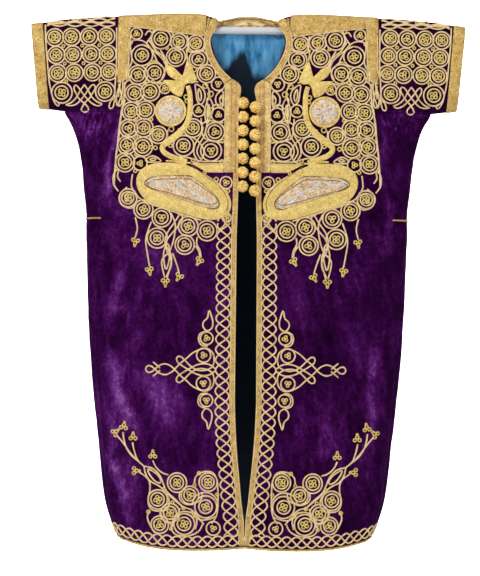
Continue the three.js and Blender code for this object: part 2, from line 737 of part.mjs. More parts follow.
// The flower over each medallion: three pointed petals round its heart.
const flower = { x: 122, z: -100 };
const petals = [
  { x: 113, z: -59 },
  { x: 104, z: -72 },
  { x: 99, z: -84 },
  { x: 93.5, z: -96 },
  { x: 101, z: -103 },
  { x: 114, z: -102 },
  { x: 118, z: -111 },
  { x: 119.5, z: -121 },
  { x: 125, z: -129 },
  { x: 134, z: -124 },
  { x: 142, z: -120 },
  { x: 149, z: -107 },
  { x: 160, z: -98 },
  { x: 146, z: -96.5 },
  { x: 133, z: -97 },
  { x: 146, z: -90 },
  { x: 152, z: -79 },
  { x: 152, z: -68 },
  { x: 140, z: -71 },
  { x: 129, z: -81 },
  { x: 121.8, z: -89 },
  { x: 118.5, z: -79 },
  { x: 116, z: -69 },
];
const PETAL_POINTS = 36;

// The flower's stem, down beside the medallion and back over the top of the leaf.
const stem = [
  { x: 111.5, z: -107, half: 4.2 },
  { x: 107, z: -122, half: 4.6 },
  { x: 106.5, z: -140, half: 5 },
  { x: 106.8, z: -158, half: 5 },
  { x: 111, z: -176, half: 5.4 },
  { x: 121, z: -191, half: 6 },
  { x: 136, z: -204, half: 6.6 },
  { x: 150, z: -213.5, half: 6.2 },
  { x: 158, z: -222, half: 5.4 },
  { x: 154, z: -232, half: 5 },
  { x: 139, z: -240, half: 5 },
  { x: 124, z: -244.2, half: 4.4 },
  { x: 111, z: -248, half: 3.4 },
];

// Crown and edge of each padded piece over the velvet.
const RING = { edge: 1, crown: 0.8 };
const DISC = { edge: 0.8, crown: 2 };
const FRAME = { edge: 1.2, crown: 1.6 };
const INSERT = { edge: 0.9, crown: 1.3 };
const FLOWER = { edge: 0.9, crown: 2, lift: 0.6 };
const STEM = { edge: 1, crown: 1 };

const disc = circle(medallion, medallion.disc, MEDALLION_POINTS);
const ringInner = circle(medallion, medallion.disc + SEAM, MEDALLION_POINTS);
const ringOuter = circle(medallion, medallion.radius, MEDALLION_POINTS);
const insert = outlineOf(leafInner, LEAF_POINTS);
const frameInner = insert.map((p) => {
  const away = Math.hypot(p.x - leafCentre.x, p.z - leafCentre.z);
  const scale = (away + 2 * SEAM) / away;
  return { x: mix(leafCentre.x, p.x, scale), z: mix(leafCentre.z, p.z, scale) };
});
const frameOuter = outlineOf(leafOuter, LEAF_POINTS);
const petalOutline = outlineOf(petals, PETAL_POINTS);
const stemPath = new THREE.CatmullRomCurve3(stem.map((s) => new THREE.Vector3(s.x, s.half, s.z)));
const STEM_STEPS = 18;

for (const { word, sign } of sides) {
  raisedFrame(`medallion_ring_${word}`, sign, ringOuter, ringInner, RING, gilt);
  padded(`medallion_disc_${word}`, sign, disc, medallion, DISC, silverThread);
  raisedFrame(`leaf_frame_${word}`, sign, frameOuter, frameInner, FRAME, brightGilt);
  padded(`leaf_insert_${word}`, sign, insert, leafCentre, INSERT, silverThread);
  padded(`flower_${word}`, sign, petalOutline, flower, FLOWER, brightGilt);
  sheet(`flower_stem_${word}`, STEM_STEPS, 2, (i, j) => {
    const point = stemPath.getPoint(i / STEM_STEPS);
    const way = stemPath.getTangent(i / STEM_STEPS).setY(0).normalize();
    const side = (j - 1) * point.y;
    return frontAt(sign * (point.x - way.z * side), point.z + way.x * side);
  }, SEAM, (i, j) => SEAM + STEM.edge + (j === 1 ? STEM.crown : 0), brightGilt);
}

// ---------------------------------------------------------------- ball buttons
const buttonColumns = [
  { word: 'right', x: -7.9, top: -139 },
  { word: 'left', x: 13.6, top: -147 },
];
const BUTTONS = 7;
const REST = 0.96 * BUTTON + SEAM;   // from a ball's centre to the band's edge that it rests on
for (const { word, x, top } of buttonColumns) {
  for (let k = 0; k < BUTTONS; k += 1) {
    const z = top - k * BUTTON_PITCH;
    const edge = Math.sign(x) * EDGE;
    const face = frontAt(edge, z).p.y - SEAM - BAND;
    const reach = Math.min(Math.abs(edge - x), 0.9 * BUTTON);
    const ball = new THREE.Mesh(new THREE.SphereGeometry(BUTTON, 8, 6), gilt());
    ball.name = `button_${word}_${k + 1}`;
    ball.rotation.x = Math.PI / 2;
    ball.position.set(x, face - Math.sqrt(REST ** 2 - reach ** 2), z);
    group.add(ball);
  }
}

// ---------------------------------------------------------------- display bar
// Its middle is a plain round bar; inside the shoulders it deepens to carry the fold.
const barStations = [-BAR_END, -350, -250, -150, -105, -86, -75, -66, -NECK, 0];
const barHalf = barStations.slice(0, -1).map((x) => -x).reverse();
const barLengths = [...barStations, ...barHalf];
const BAR_SIDES = 10;
const BAR_LEAST = 0.55 * BAR_RADIUS;   // its top at the sleeve ends
const UNDER_FOLD = VELVET + 1.8;       // from the velvet's outside to the bar

function barTop(x) {
  const out = Math.abs(x);
  if (out < NECK + 1) return BAR_RADIUS;
  return Math.max(BAR_LEAST, read(shoulder, 'x', 'z', out) - UNDER_FOLD);
}

function displayBar() {
  const positions = [];
  const faces = [];
  for (const x of barLengths) {
    const rise = Math.max(0, barTop(x) - BAR_RADIUS);
    const squash = Math.min(1, barTop(x) / BAR_RADIUS);
    for (let k = 0; k < BAR_SIDES; k += 1) {
      const turn = (2 * Math.PI * (k + 0.5)) / BAR_SIDES;
      const up = BAR_RADIUS * Math.sin(turn);
      positions.push(x, BAR_RADIUS * Math.cos(turn), up > 0 ? rise + squash * up : up);
    }
  }
  for (let i = 0; i < barLengths.length - 1; i += 1) {
    for (let k = 0; k < BAR_SIDES; k += 1) {
      const a = i * BAR_SIDES + k;
      const b = i * BAR_SIDES + (k + 1) % BAR_SIDES;
      faces.push(a, b, b + BAR_SIDES, a, b + BAR_SIDES, a + BAR_SIDES);
    }
  }
  const lastRing = (barLengths.length - 1) * BAR_SIDES;
  for (let k = 1; k < BAR_SIDES - 1; k += 1) {
    faces.push(0, k + 1, k);
    faces.push(lastRing, lastRing + k, lastRing + k + 1);
  }
  finish('hanger_bar', positions, faces, paleMetal);
}
displayBar();

export default group;
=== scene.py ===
from math import atan2, ceil, cos, exp, hypot, pi, radians, sin

import bmesh
import bpy
from mathutils import Matrix, Vector, noise
from mathutils.bvhtree import BVHTree


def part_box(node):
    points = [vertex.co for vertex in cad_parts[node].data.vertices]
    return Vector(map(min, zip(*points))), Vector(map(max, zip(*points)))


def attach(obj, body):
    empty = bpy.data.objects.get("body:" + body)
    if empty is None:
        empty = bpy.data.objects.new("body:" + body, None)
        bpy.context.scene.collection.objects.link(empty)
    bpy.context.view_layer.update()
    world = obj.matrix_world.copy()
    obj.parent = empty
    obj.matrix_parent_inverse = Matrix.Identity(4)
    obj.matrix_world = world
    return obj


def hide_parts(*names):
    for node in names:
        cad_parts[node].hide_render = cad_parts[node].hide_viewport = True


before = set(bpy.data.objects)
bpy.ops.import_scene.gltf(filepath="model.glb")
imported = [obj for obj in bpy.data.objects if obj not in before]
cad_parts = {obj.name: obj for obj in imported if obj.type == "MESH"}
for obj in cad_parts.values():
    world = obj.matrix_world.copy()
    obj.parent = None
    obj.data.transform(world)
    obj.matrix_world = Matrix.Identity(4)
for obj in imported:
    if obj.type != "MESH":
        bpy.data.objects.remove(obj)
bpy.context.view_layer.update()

scene = bpy.context.scene
MM = 0.001


# ---------------------------------------------------------------- Camera, backdrop and light
# A long lens four metres in front of the kaftan, level with its middle and rolled half a degree,
# because the bar hangs a little off level. A pale sweep and five soft lamps make the studio.
CAMERA_DISTANCE = 4.06
CAMERA_HEIGHT = -0.4808
CAMERA_SIDE = -0.0117
CAMERA_ROLL = radians(0.46)
VIEW_HEIGHT = 1.06
SENSOR_HEIGHT = 24
CLOTH_FRONT = 0.06

lens_data = bpy.data.cameras.new("studio_camera")
lens_data.sensor_fit = "VERTICAL"
lens_data.sensor_height = SENSOR_HEIGHT
lens_data.lens = SENSOR_HEIGHT * (CAMERA_DISTANCE - CLOTH_FRONT) / VIEW_HEIGHT
camera = bpy.data.objects.new("studio_camera", lens_data)
scene.collection.objects.link(camera)
camera.matrix_world = (
    Matrix.Translation((CAMERA_SIDE, -CAMERA_DISTANCE, CAMERA_HEIGHT))
    @ Matrix.Rotation(radians(90), 4, "X")
    @ Matrix.Rotation(CAMERA_ROLL, 4, "Z")
)
scene.camera = camera
scene.view_settings.view_transform = "Standard"


def new_piece(name, mesh):
    piece = bpy.data.objects.new(name, mesh)
    scene.collection.objects.link(piece)
    return piece


def piece_from(work, name):
    """Turns a finished bmesh into a piece of its own."""
    mesh = bpy.data.meshes.new(name)
    work.to_mesh(mesh)
    work.free()
    return new_piece(name, mesh)


def smooth_all(piece):
    for face in piece.data.polygons:
        face.use_smooth = True


def sweep_backdrop():
    """A floor that curves up into a wall behind the garment."""
    floor, wall, radius, half = -1.6, 8.0, 1.4, 8.0
    outline = [(-7.0, floor)]
    for step in range(13):
        turn = radians(90) * step / 12
        outline.append((wall - radius + radius * sin(turn), floor + radius * (1 - cos(turn))))
    outline.append((wall, 5.0))
    work = bmesh.new()
    rows = [[work.verts.new((side * half, y, z)) for side in (-1, 1)] for y, z in outline]
    for low, high in zip(rows, rows[1:]):
        work.faces.new((low[0], low[1], high[1], high[0]))
    return piece_from(work, "studio_sweep")


sweep = sweep_backdrop()
smooth_all(sweep)
paper = bpy.data.materials.new("white_paper")
paper.use_nodes = True
paper_shader = paper.node_tree.nodes["Principled BSDF"]
paper_shader.inputs["Base Color"].default_value = (0.9, 0.9, 0.9, 1)
paper_shader.inputs["Roughness"].default_value = 0.9
sweep.data.materials.append(paper)


def soft_lamp(name, place, aim, size, power):
    data = bpy.data.lights.new(name, "AREA")
    data.shape = "RECTANGLE"
    data.size, data.size_y = size
    data.energy = power
    lamp = bpy.data.objects.new(name, data)
    scene.collection.objects.link(lamp)
    way = Vector(aim) - Vector(place)
    lamp.matrix_world = Matrix.Translation(place) @ way.to_track_quat("-Z", "Y").to_matrix().to_4x4()


soft_lamp("key_lamp", (-2.0, -3.0, 2.0), (0, 0, -0.45), (1.1, 1.1), 105)
soft_lamp("fill_lamp", (2.8, -3.0, 0.2), (0, 0, -0.5), (2.2, 2.2), 38)
soft_lamp("low_lamp", (-1.2, -3.2, -1.4), (0, 0, -0.7), (1.6, 1.0), 14)
soft_lamp("top_lamp", (0, -0.6, 2.6), (0, 0.3, -0.4), (2.6, 1.6), 26)
soft_lamp("paper_lamp", (0, 5.4, 3.4), (0, 8.0, -0.6), (9.0, 1.4), 900)
sky = bpy.data.worlds.new("studio_sky")
scene.world = sky
sky.use_nodes = True
sky.node_tree.nodes["Background"].inputs["Color"].default_value = (1, 1, 1, 1)
sky.node_tree.nodes["Background"].inputs["Strength"].default_value = 0.34


# ---------------------------------------------------------------- Velvet panels
# Two fronts, a back, two side gores and two sleeves in deep purple silk velvet, sewn edge to edge.
# Each is a finer copy of its plain piece, creased where it has been folded and gathered.
def finer_copy(node, name, levels=2):
    """A smooth copy of a plain piece, its cut edges kept."""
    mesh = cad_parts[node].data.copy()
    mesh.materials.clear()
    work = bmesh.new()
    work.from_mesh(mesh)
    bmesh.ops.remove_doubles(work, verts=work.verts, dist=0.02 * MM)
    bmesh.ops.join_triangles(
        work, faces=work.faces, angle_face_threshold=radians(40), angle_shape_threshold=radians(120))
    crease = work.edges.layers.float.get("crease_edge") or work.edges.layers.float.new("crease_edge")
    for edge in work.edges:
        if len(edge.link_faces) == 2 and edge.calc_face_angle() > radians(50):
            edge[crease] = 0.8
    work.to_mesh(mesh)
    work.free()
    piece = new_piece(name, mesh)
    finish_with(piece, "SUBSURF", levels=levels, render_levels=levels)
    smooth_all(piece)
    return piece


def finish_with(piece, kind, **settings):
    """Adds a modifier and applies it."""
    bpy.ops.object.select_all(action="DESELECT")
    piece.select_set(True)
    bpy.context.view_layer.objects.active = piece
    modifier = piece.modifiers.new(kind.lower(), kind)
    for setting, value in settings.items():
        setattr(modifier, setting, value)
    bpy.ops.object.modifier_apply(modifier=modifier.name)


# Heights in millimetres from the shoulder fold: where the fronts' creases begin, under the arm,
# and where the waist seam lies. Creases have died away at the last height, past the hem.
ARMHOLE_FOOT = -150
GATHER_TOP = -157
WAIST_SEAM = -366
PAST_HEM = -975

# Soft troughs pressed or pulled into the fronts: from one end to the other, in millimetres
# outward from the opening and down, with the trough's width and depth. Ridges have a minus depth.
front_creases = [
    {"start": (120, -470), "end": (134, -930), "width": 26, "depth": 3.5},
    {"start": (176, -520), "end": (196, -915), "width": 22, "depth": 3.2},
    {"start": (232, -330), "end": (246, -760), "width": 20, "depth": 3.0},
    {"start": (88, -700), "end": (92, -820), "width": 24, "depth": -2.2},
    {"start": (150, -600), "end": (158, -700), "width": 28, "depth": -2.0},
    {"start": (205, -430), "end": (214, -560), "width": 18, "depth": -2.2},
    {"start": (240, -180), "end": (228, -300), "width": 14, "depth": 2.2},
    {"start": (40, -480), "end": (60, -500), "width": 16, "depth": 1.4},
    {"start": (90, -820), "end": (240, -826), "width": 7, "depth": 1.2},
    {"start": (100, -470), "end": (250, -476), "width": 7, "depth": 0.9},
]
back_creases = [
    {"start": (0, -200), "end": (6, -900), "width": 30, "depth": 4.0},
    {"start": (96, -260), "end": (120, -930), "width": 26, "depth": 4.0},
    {"start": (-104, -300), "end": (-126, -930), "width": 28, "depth": 4.2},
    {"start": (190, -240), "end": (214, -900), "width": 22, "depth": 3.4},
    {"start": (-196, -220), "end": (-210, -880), "width": 22, "depth": 3.4},
    {"start": (50, -60), "end": (150, -170), "width": 18, "depth": 2.4},
    {"start": (-50, -60), "end": (-150, -170), "width": 18, "depth": 2.4},
    {"start": (-230, -476), "end": (230, -470), "width": 7, "depth": 1.0},
    {"start": (-220, -826), "end": (220, -820), "width": 7, "depth": 1.0},
]
sleeve_creases = [
    {"start": (250, -100), "end": (330, -150), "width": 12, "depth": 2.0},
    {"start": (244, -60), "end": (290, -20), "width": 16, "depth": 1.2},
    {"start": (330, -120), "end": (376, -100), "width": 14, "depth": 1.4},
]


def clamped(value):
    return min(1.0, max(0.0, value))


def set_against(line, x, z):
    """How far along a line a place lies, how far off it, and the line's length."""
    ax, az = line["start"]
    bx, bz = line["end"]
    run = hypot(bx - ax, bz - az)
    along = ((x - ax) * (bx - ax) + (z - az) * (bz - az)) / run
    off = ((x - ax) * (bz - az) - (z - az) * (bx - ax)) / run
    return along, off, run


def trough(creases, out, z):
    """How deep the cloth lies under its smooth form at one place, in millimetres."""
    total = 0.0
    for crease in creases:
        along, off, run = set_against(crease, out, z)
        off += 3.0 * sin(along / 37.0 + crease["start"][0])
        ends = clamped(min(along, run - along) / (0.22 * run) + 0.15)
        total += crease["depth"] * ends * ends * exp(-(off / crease["width"]) ** 2)
    return total


def crumple(x, z, scale, depth, seed):
    spot = Vector((x / scale, z / scale, seed))
    return depth * noise.fractal(spot, 0.8, 2.2, 3)


def eased(value, start, end):
    share = clamped((value - start) / (end - start))
    return share * share * (3 - 2 * share)


def neck_draw(point):
    """Over the bar the neck edge is drawn in, so that the top of the neck is round."""
    out, z = abs(point.x) / MM, point.z / MM
    draw = 8.0 * eased(out, 46, 57) * (1 - eased(out, 72, 96)) * eased(z, -18, 7)
    return Vector((-draw * MM if point.x > 0 else draw * MM, 0, 0))


def seam_fade(out, z):
    """1 over a panel and 0 at its side seam, where it meets the gore."""
    seam = 266 - 46 * max(0.0, (-500 - z) / 449) ** 3
    return 1 - eased(out, seam - 34, seam - 4)


def seam_pull(point):
    """Draws a panel's side edge against the gore's, as the stitches do."""
    out, z = abs(point.x) / MM, point.z / MM
    pull = 0.4 * (1 - seam_fade(out, z)) * clamped((-165 - z) / 20)
    return Vector((pull * MM if point.x > 0 else -pull * MM, 0, 0))


def front_shift(point):
    """The fronts' creases, and what is sewn on them follows. Fades at the seams and the top.
    Near the hem the two front edges hang against each other."""
    out, z = abs(point.x) / MM, point.z / MM
    closed = clamped((-888 - z) / 22) * max(0.0, 1 - out / 60)
    fade = clamped((ARMHOLE_FOOT - z) / 60) * clamped((z - PAST_HEM) / 40)
    seed = 3.0 if point.x < 0 else 8.0
    depth = trough(front_creases, out + (0 if point.x < 0 else 9), z)
    depth += crumple(out, z, 70, 1.6, seed) + crumple(out, z, 24, 0.5, seed)
    depth *= seam_fade(out, z)
    inward = (-1.05 if point.x > 0 else 1.05) * closed * MM
    return Vector((inward, depth * fade * MM, 0)) + neck_draw(point) + seam_pull(point)


def back_shift(point):
    """The back's long creases, which fade at the seams, the shoulders and the hem."""
    x, z = point.x / MM, point.z / MM
    fade = clamped((-30 - z) / 60) * clamped((z - PAST_HEM) / 40)
    depth = (trough(back_creases, x, z) + crumple(x, z, 80, 1.8, 5.0)) * seam_fade(abs(x), z)
    return Vector((0, -depth * fade * MM, 0)) + neck_draw(point) + seam_pull(point)


def sleeve_shift(point):
    """A sleeve's soft creases, the same on its front and its back."""
    out, z = abs(point.x) / MM, point.z / MM
    fade = clamped((-10 - z) / 40) * clamped((z - ARMHOLE_FOOT) / 25)
    depth = (trough(sleeve_creases, out, z) + crumple(out, z, 45, 1.0, 6.0)) * fade
    return Vector((0, depth * MM if point.y < 0 else -depth * MM, 0))


def gore_shift(point):
    """Small gathers under the sleeve seam and again under the waist cord."""
    x, y, z = abs(point.x) / MM, point.y / MM, point.z / MM
    turn = atan2(y * 3.5, x)
    top = exp(-max(0.0, GATHER_TOP - z) / 30) * clamped((GATHER_TOP - z) / 6)
    below = exp(-abs(z - WAIST_SEAM) / 26)
    edge = clamped((x - 262) / 18)
    depth = (1.7 * sin(turn * 19) * top + 1.3 * sin(turn * 17 + 1) * below) * edge
    depth += crumple(y * 2, z, 40, 1.2, 2.0 if point.x < 0 else 7.0) * edge
    return Vector((-depth * MM * (1 if point.x > 0 else -1), 0, 0))


def move_by(piece, shift):
    for vertex in piece.data.vertices:
        vertex.co += shift(vertex.co)
    piece.data.update()


def outward(kind, place):
    """The way from the inside of a panel to its outer face, at one place."""
    if kind == "side":
        return Vector((place.x * 0.3, place.y, 0))
    if kind == "sleeve":
        return Vector((0, place.y, (place.z + 0.07) * 0.5))
    return Vector((0, place.y, max(0.0, place.z + 0.01)))


def line_inside(piece, kind, lining):
    """Gives the inner skin of a panel the lining's finish."""
    piece.data.materials.append(lining)
    for face in piece.data.polygons:
        if face.normal.dot(outward(kind, face.center).normalized()) < -0.45:
            face.material_index = 1


# Pale streaks on the velvet are painted sheen highlights, standing where crushed pile would catch the light.
# Streaks run from one place to another, in millimetres across and up, with width and strength.
sheen_streaks = [
    {"start": (-245, -150), "end": (-257, -318), "width": 4, "strength": 0.35},
    {"start": (245, -156), "end": (257, -318), "width": 4.5, "strength": 0.35},
    {"start": (-266, -590), "end": (-190, -770), "width": 15, "strength": 0.52},
    {"start": (-255, -690), "end": (-228, -880), "width": 10, "strength": 0.45},
    {"start": (-236, -420), "end": (-246, -560), "width": 12, "strength": 0.35},
    {"start": (-262, -250), "end": (-262, -330), "width": 9, "strength": 0.35},
    {"start": (-204, -640), "end": (-120, -720), "width": 26, "strength": 0.35},
    {"start": (-90, -800), "end": (-70, -900), "width": 18, "strength": 0.3},
    {"start": (-238, -790), "end": (-186, -905), "width": 24, "strength": 0.26},
    {"start": (-238, -845), "end": (-200, -950), "width": 12, "strength": 0.2},
    {"start": (236, -560), "end": (226, -840), "width": 12, "strength": 0.4},
    {"start": (258, -300), "end": (266, -420), "width": 9, "strength": 0.3},
    {"start": (120, -760), "end": (180, -800), "width": 26, "strength": 0.25},
]


# The velvet's tone at a place, 0 dark to 1 pale: random mottling of the crushed pile, with painted light,
# painted sheen highlights and painted shade added below.
def nap_and_lighting(point):
    x, y, z = (c / MM for c in point)
    value = 0.31 + 0.22 * noise.fractal(Vector((x / 60, y / 90, z / 75)), 0.7, 2.1, 4)
    value += 0.24 * noise.fractal(Vector((x / 11 + z / 50, y / 30, z / 16)), 0.9, 2.3, 3)
    # Painted light: the left front is a little paler, as if lit from that side.
    value += 0.08 if x < 0 and y < 40 else 0.0
    # Painted highlights: pale stripes across the gathers under the arm, where their ridges catch the light.
    under = exp(-((abs(x) - 280) / 34) ** 2 - ((z + 168) / 32) ** 2)
    bent = 2 * pi * (abs(x) + 0.35 * z) / 9.5 + 2.5 * noise.noise(Vector((x / 20, 0, z / 14)))
    value += 0.5 * under * max(0.0, sin(bent)) ** 2
    # Darker over the chest and the sleeves, where the embroidery lies: partly the pile pressed flat, partly
    # painted shade between the cords.
    if z > -150 or (abs(x) < 236 and z > -262):
        value -= 0.2
    # Painted sheen highlights: the pale streaks on the front.
    if y < 40:
        for streak in sheen_streaks:
            along, off, run = set_against(streak, x, z)
            off += 6 * sin(along / 23)
            ends = exp(-((along / run - 0.5) / 0.42) ** 4)
            value += streak["strength"] * ends * exp(-(off / streak["width"]) ** 2)
    return clamped(value)


# Stores that tone, with its painted light and shade, on each point of a panel.
def paint_nap_and_lighting(piece):
    layer = piece.data.attributes.new("nap_and_lighting", "FLOAT", "POINT")
    for vertex, entry in zip(piece.data.vertices, layer.data):
        entry.value = nap_and_lighting(vertex.co)


def new_material(name, **constants):
    material = bpy.data.materials.new(name)
    material.use_nodes = True
    shader = material.node_tree.nodes["Principled BSDF"]
    for socket, value in constants.items():
        shader.inputs[socket.replace("_", " ")].default_value = value
    return material, material.node_tree.nodes, material.node_tree.links, shader


def ramp_between(nodes, links, source, stops):
    ramp = nodes.new("ShaderNodeValToRGB")
    ramp.color_ramp.elements[0].position, ramp.color_ramp.elements[0].color = stops[0]
    ramp.color_ramp.elements[1].position, ramp.color_ramp.elements[1].color = stops[-1]
    for place, color in stops[1:-1]:
        ramp.color_ramp.elements.new(place).color = color
    links.new(source, ramp.inputs["Fac"])
    return ramp.outputs["Color"]


def place_of(nodes):
    return nodes.new("ShaderNodeTexCoord").outputs["Object"]


def noise_on(nodes, links, place, scale, detail=3.0, roughness=0.6, stretch=None):
    if stretch:
        mapping = nodes.new("ShaderNodeMapping")
        mapping.inputs["Scale"].default_value = stretch
        links.new(place, mapping.inputs["Vector"])
        place = mapping.outputs["Vector"]
    texture = nodes.new("ShaderNodeTexNoise")
    texture.inputs["Scale"].default_value = scale
    texture.inputs["Detail"].default_value = detail
    texture.inputs["Roughness"].default_value = roughness
    links.new(place, texture.inputs["Vector"])
    return texture.outputs["Fac"]


def weighted(nodes, links, value, factor, base):
    """value times factor, plus base."""
    total = nodes.new("ShaderNodeMath")
    total.operation = "MULTIPLY_ADD"
    links.new(value, total.inputs[0])
    total.inputs[1].default_value = factor
    links.new(base, total.inputs[2])
    return total.outputs[0]


def ranged(nodes, links, value, low, high, interpolation="LINEAR"):
    """0 where value is low and 1 where it is high."""
    share = nodes.new("ShaderNodeMapRange")
    share.interpolation_type = interpolation
    share.inputs["From Min"].default_value = low
    share.inputs["From Max"].default_value = high
    links.new(value, share.inputs["Value"])
    return share.outputs["Result"]


def bump_from(nodes, links, height, distance, strength, shader, under=None):
    bump = nodes.new("ShaderNodeBump")
    bump.inputs["Distance"].default_value = distance
    bump.inputs["Strength"].default_value = strength
    links.new(height, bump.inputs["Height"])
    if under:
        links.new(under, bump.inputs["Normal"])
    links.new(bump.outputs["Normal"], shader.inputs["Normal"])
    return bump.outputs["Normal"]


def velvet_material():
    material, nodes, links, shader = new_material(
        "purple_velvet", Sheen_Weight=0.08, Sheen_Roughness=0.4,
        Sheen_Tint=(0.6, 0.08, 0.9, 1), Specular_IOR_Level=0.02)
    place = place_of(nodes)
    # The velvet's colour and roughness follow the stored tone: random pile mottling, with painted sheen
    # highlights, painted light and painted shade.
    nap_and_lighting_value = nodes.new("ShaderNodeAttribute")
    nap_and_lighting_value.attribute_name = "nap_and_lighting"
    fine = noise_on(nodes, links, place, 150, 6, 0.8, (1.0, 1.0, 0.75))
    lower = nodes.new("ShaderNodeMath")
    lower.operation = "SUBTRACT"
    links.new(weighted(nodes, links, fine, 1.4, nap_and_lighting_value.outputs["Fac"]), lower.inputs[0])
    lower.inputs[1].default_value = 0.7
    color = ramp_between(nodes, links, lower.outputs[0], [
        (0.0, (0.006, 0.0001, 0.009, 1)),
        (0.3, (0.019, 0.0004, 0.027, 1)),
        (0.55, (0.046, 0.003, 0.066, 1)),
        (0.8, (0.100, 0.018, 0.145, 1)),
        (1.0, (0.200, 0.064, 0.260, 1)),
    ])
    links.new(color, shader.inputs["Base Color"])
    rough = ramp_between(nodes, links, nap_and_lighting_value.outputs["Fac"], [
        (0.0, (0.95, 0.95, 0.95, 1)), (1.0, (0.62, 0.62, 0.62, 1))])
    links.new(rough, shader.inputs["Roughness"])
    presses = noise_on(nodes, links, place, 30, 5, 0.65, (1.0, 1.0, 2.6))
    first = bump_from(nodes, links, presses, 0.004, 0.25, shader)
    bump_from(nodes, links, noise_on(nodes, links, place, 900, 2, 0.6), 0.0004, 0.5, shader, first)
    return material


def cotton_material():
    material, nodes, links, shader = new_material(
        "blue_cotton", Sheen_Weight=0.1, Specular_IOR_Level=0.15)
    place = place_of(nodes)
    # Painted shade: vertical streaks of darker blue stand for the lining's wrinkles, and also unsteady the
    # edge of the painted shadow below.
    wrinkle_shade_streaks = noise_on(nodes, links, place, 42, 5, 0.62, (1.5, 1.0, 0.32))
    top = ramp_between(nodes, links, wrinkle_shade_streaks, [
        (0.34, (0.018, 0.10, 0.24, 1)),
        (0.47, (0.06, 0.25, 0.47, 1)),
        (0.66, (0.15, 0.42, 0.68, 1)),
    ])
    # Painted shadow: below its top, and in a wedge down the middle, the cotton turns near black, as the
    # inside of the garment lies in shade. The same finish lines every panel inside.
    at = nodes.new("ShaderNodeSeparateXYZ")
    links.new(place, at.inputs[0])
    across = ranged(nodes, links, at.outputs["X"], -0.06, 0.06)
    shadow_wedge = ramp_between(nodes, links, across, [
        (drop_at, (drop, drop, drop, 1)) for drop_at, drop in (
            (0.0, 0.5), (0.43, 0.0), (0.52, 0.3), (0.62, 0.48), (1.0, 0.58))])
    lowered = weighted(nodes, links, shadow_wedge, 0.1, at.outputs["Z"])
    edge = weighted(nodes, links, wrinkle_shade_streaks, 0.03, lowered)
    shade = nodes.new("ShaderNodeMix")
    shade.data_type = "RGBA"
    links.new(ranged(nodes, links, edge, -0.029, -0.008, "SMOOTHSTEP"), shade.inputs["Factor"])
    shade.inputs["A"].default_value = (0.004, 0.012, 0.024, 1)
    links.new(top, shade.inputs["B"])
    links.new(shade.outputs["Result"], shader.inputs["Base Color"])
    shader.inputs["Roughness"].default_value = 0.8
    weave = noise_on(nodes, links, place, 1400, 1, 0.5)
    wrinkle = noise_on(nodes, links, place, 46, 4, 0.6, (3.0, 1.0, 0.6))
    first = bump_from(nodes, links, wrinkle, 0.003, 0.4, shader)
    bump_from(nodes, links, weave, 0.0002, 0.4, shader, first)
    return material


velvet = velvet_material()
cotton = cotton_material()

# Each panel: its node, how it is creased, its cut size in metres and its cut area.
panels = [
    {"node": "front_panel_right", "shift": front_shift, "flat": (0.28, 1.02), "area": 0.245},
    {"node": "front_panel_left", "shift": front_shift, "flat": (0.28, 1.02), "area": 0.245},
    {"node": "back_panel", "shift": back_shift, "flat": (0.58, 1.02), "area": 0.53},
    {"node": "side_gore_right", "shift": gore_shift, "flat": (0.22, 0.81), "area": 0.1},
    {"node": "side_gore_left", "shift": gore_shift, "flat": (0.22, 0.81), "area": 0.1},
    {"node": "sleeve_right", "shift": sleeve_shift, "flat": (0.37, 0.16), "area": 0.057},
    {"node": "sleeve_left", "shift": sleeve_shift, "flat": (0.37, 0.16), "area": 0.057},
]
cloth_pieces = {}
for panel in panels:
    piece = finer_copy(panel["node"], "velvet_" + panel["node"])
    move_by(piece, panel["shift"])
    paint_nap_and_lighting(piece)
    piece.data.materials.append(velvet)
    line_inside(piece, panel["node"].split("_")[0], cotton)
    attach(piece, "root")
    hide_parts(panel["node"])
    cloth_pieces[panel["node"]] = piece


# ---------------------------------------------------------------- Back lining and neck facing
# Blue cotton hangs inside the back, streaked with painted wrinkle shade, and painted near black as shade
# below its top and in a wedge down its middle. A strip of gold satin faces the back neck, and satin lines
# the rest of the neck edge inside.
def lining_shift(point):
    """Vertical wrinkles, drawn up under the facing."""
    x, z = point.x / MM, point.z / MM
    fade = clamped((2 - z) / 25) * clamped((z + 960) / 60)
    folds = 1.6 * sin(x / 8.5 + 2 * sin(z / 60)) + 1.2 * sin(x / 4.1 + z / 45)
    folds = folds * exp(z / 130) + 1.5 * sin(x / 27 + z / 150) + crumple(x, z, 26, 1.4, 4.0)
    return Vector((0, (-2.2 - folds) * fade * MM * 0.75, 0)) + back_shift(point)


lining = finer_copy("back_lining", "cotton_back_lining")
move_by(lining, lining_shift)
lining.data.materials.append(cotton)
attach(lining, "root")
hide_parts("back_lining")


def satin_material():
    material, nodes, links, shader = new_material(
        "gold_satin", Sheen_Weight=0.1, Anisotropic=0.5, Coat_Weight=0.05)
    place = place_of(nodes)
    # Painted shade: dark brown patches stand for the shade in the facing's crumples; the same noise gives
    # its bump.
    crumple_shade = noise_on(nodes, links, place, 62, 3, 0.6, (0.7, 1.0, 2.2))
    links.new(ramp_between(nodes, links, crumple_shade, [
        (0.36, (0.34, 0.19, 0.06, 1)), (0.46, (0.78, 0.58, 0.26, 1)), (0.7, (1.0, 0.86, 0.52, 1)),
    ]), shader.inputs["Base Color"])
    shader.inputs["Roughness"].default_value = 0.38
    bump_from(nodes, links, crumple_shade, 0.0008, 0.5, shader)
    return material


def facing_shift(point):
    """One small pleat where the facing is drawn in at the centre back."""
    x, z = point.x / MM, point.z / MM
    fan = (x + 6) / (2.5 + max(0.0, 30 - z) * 0.16)
    return Vector((0, -1.6 * exp(-fan * fan) * MM, 0))


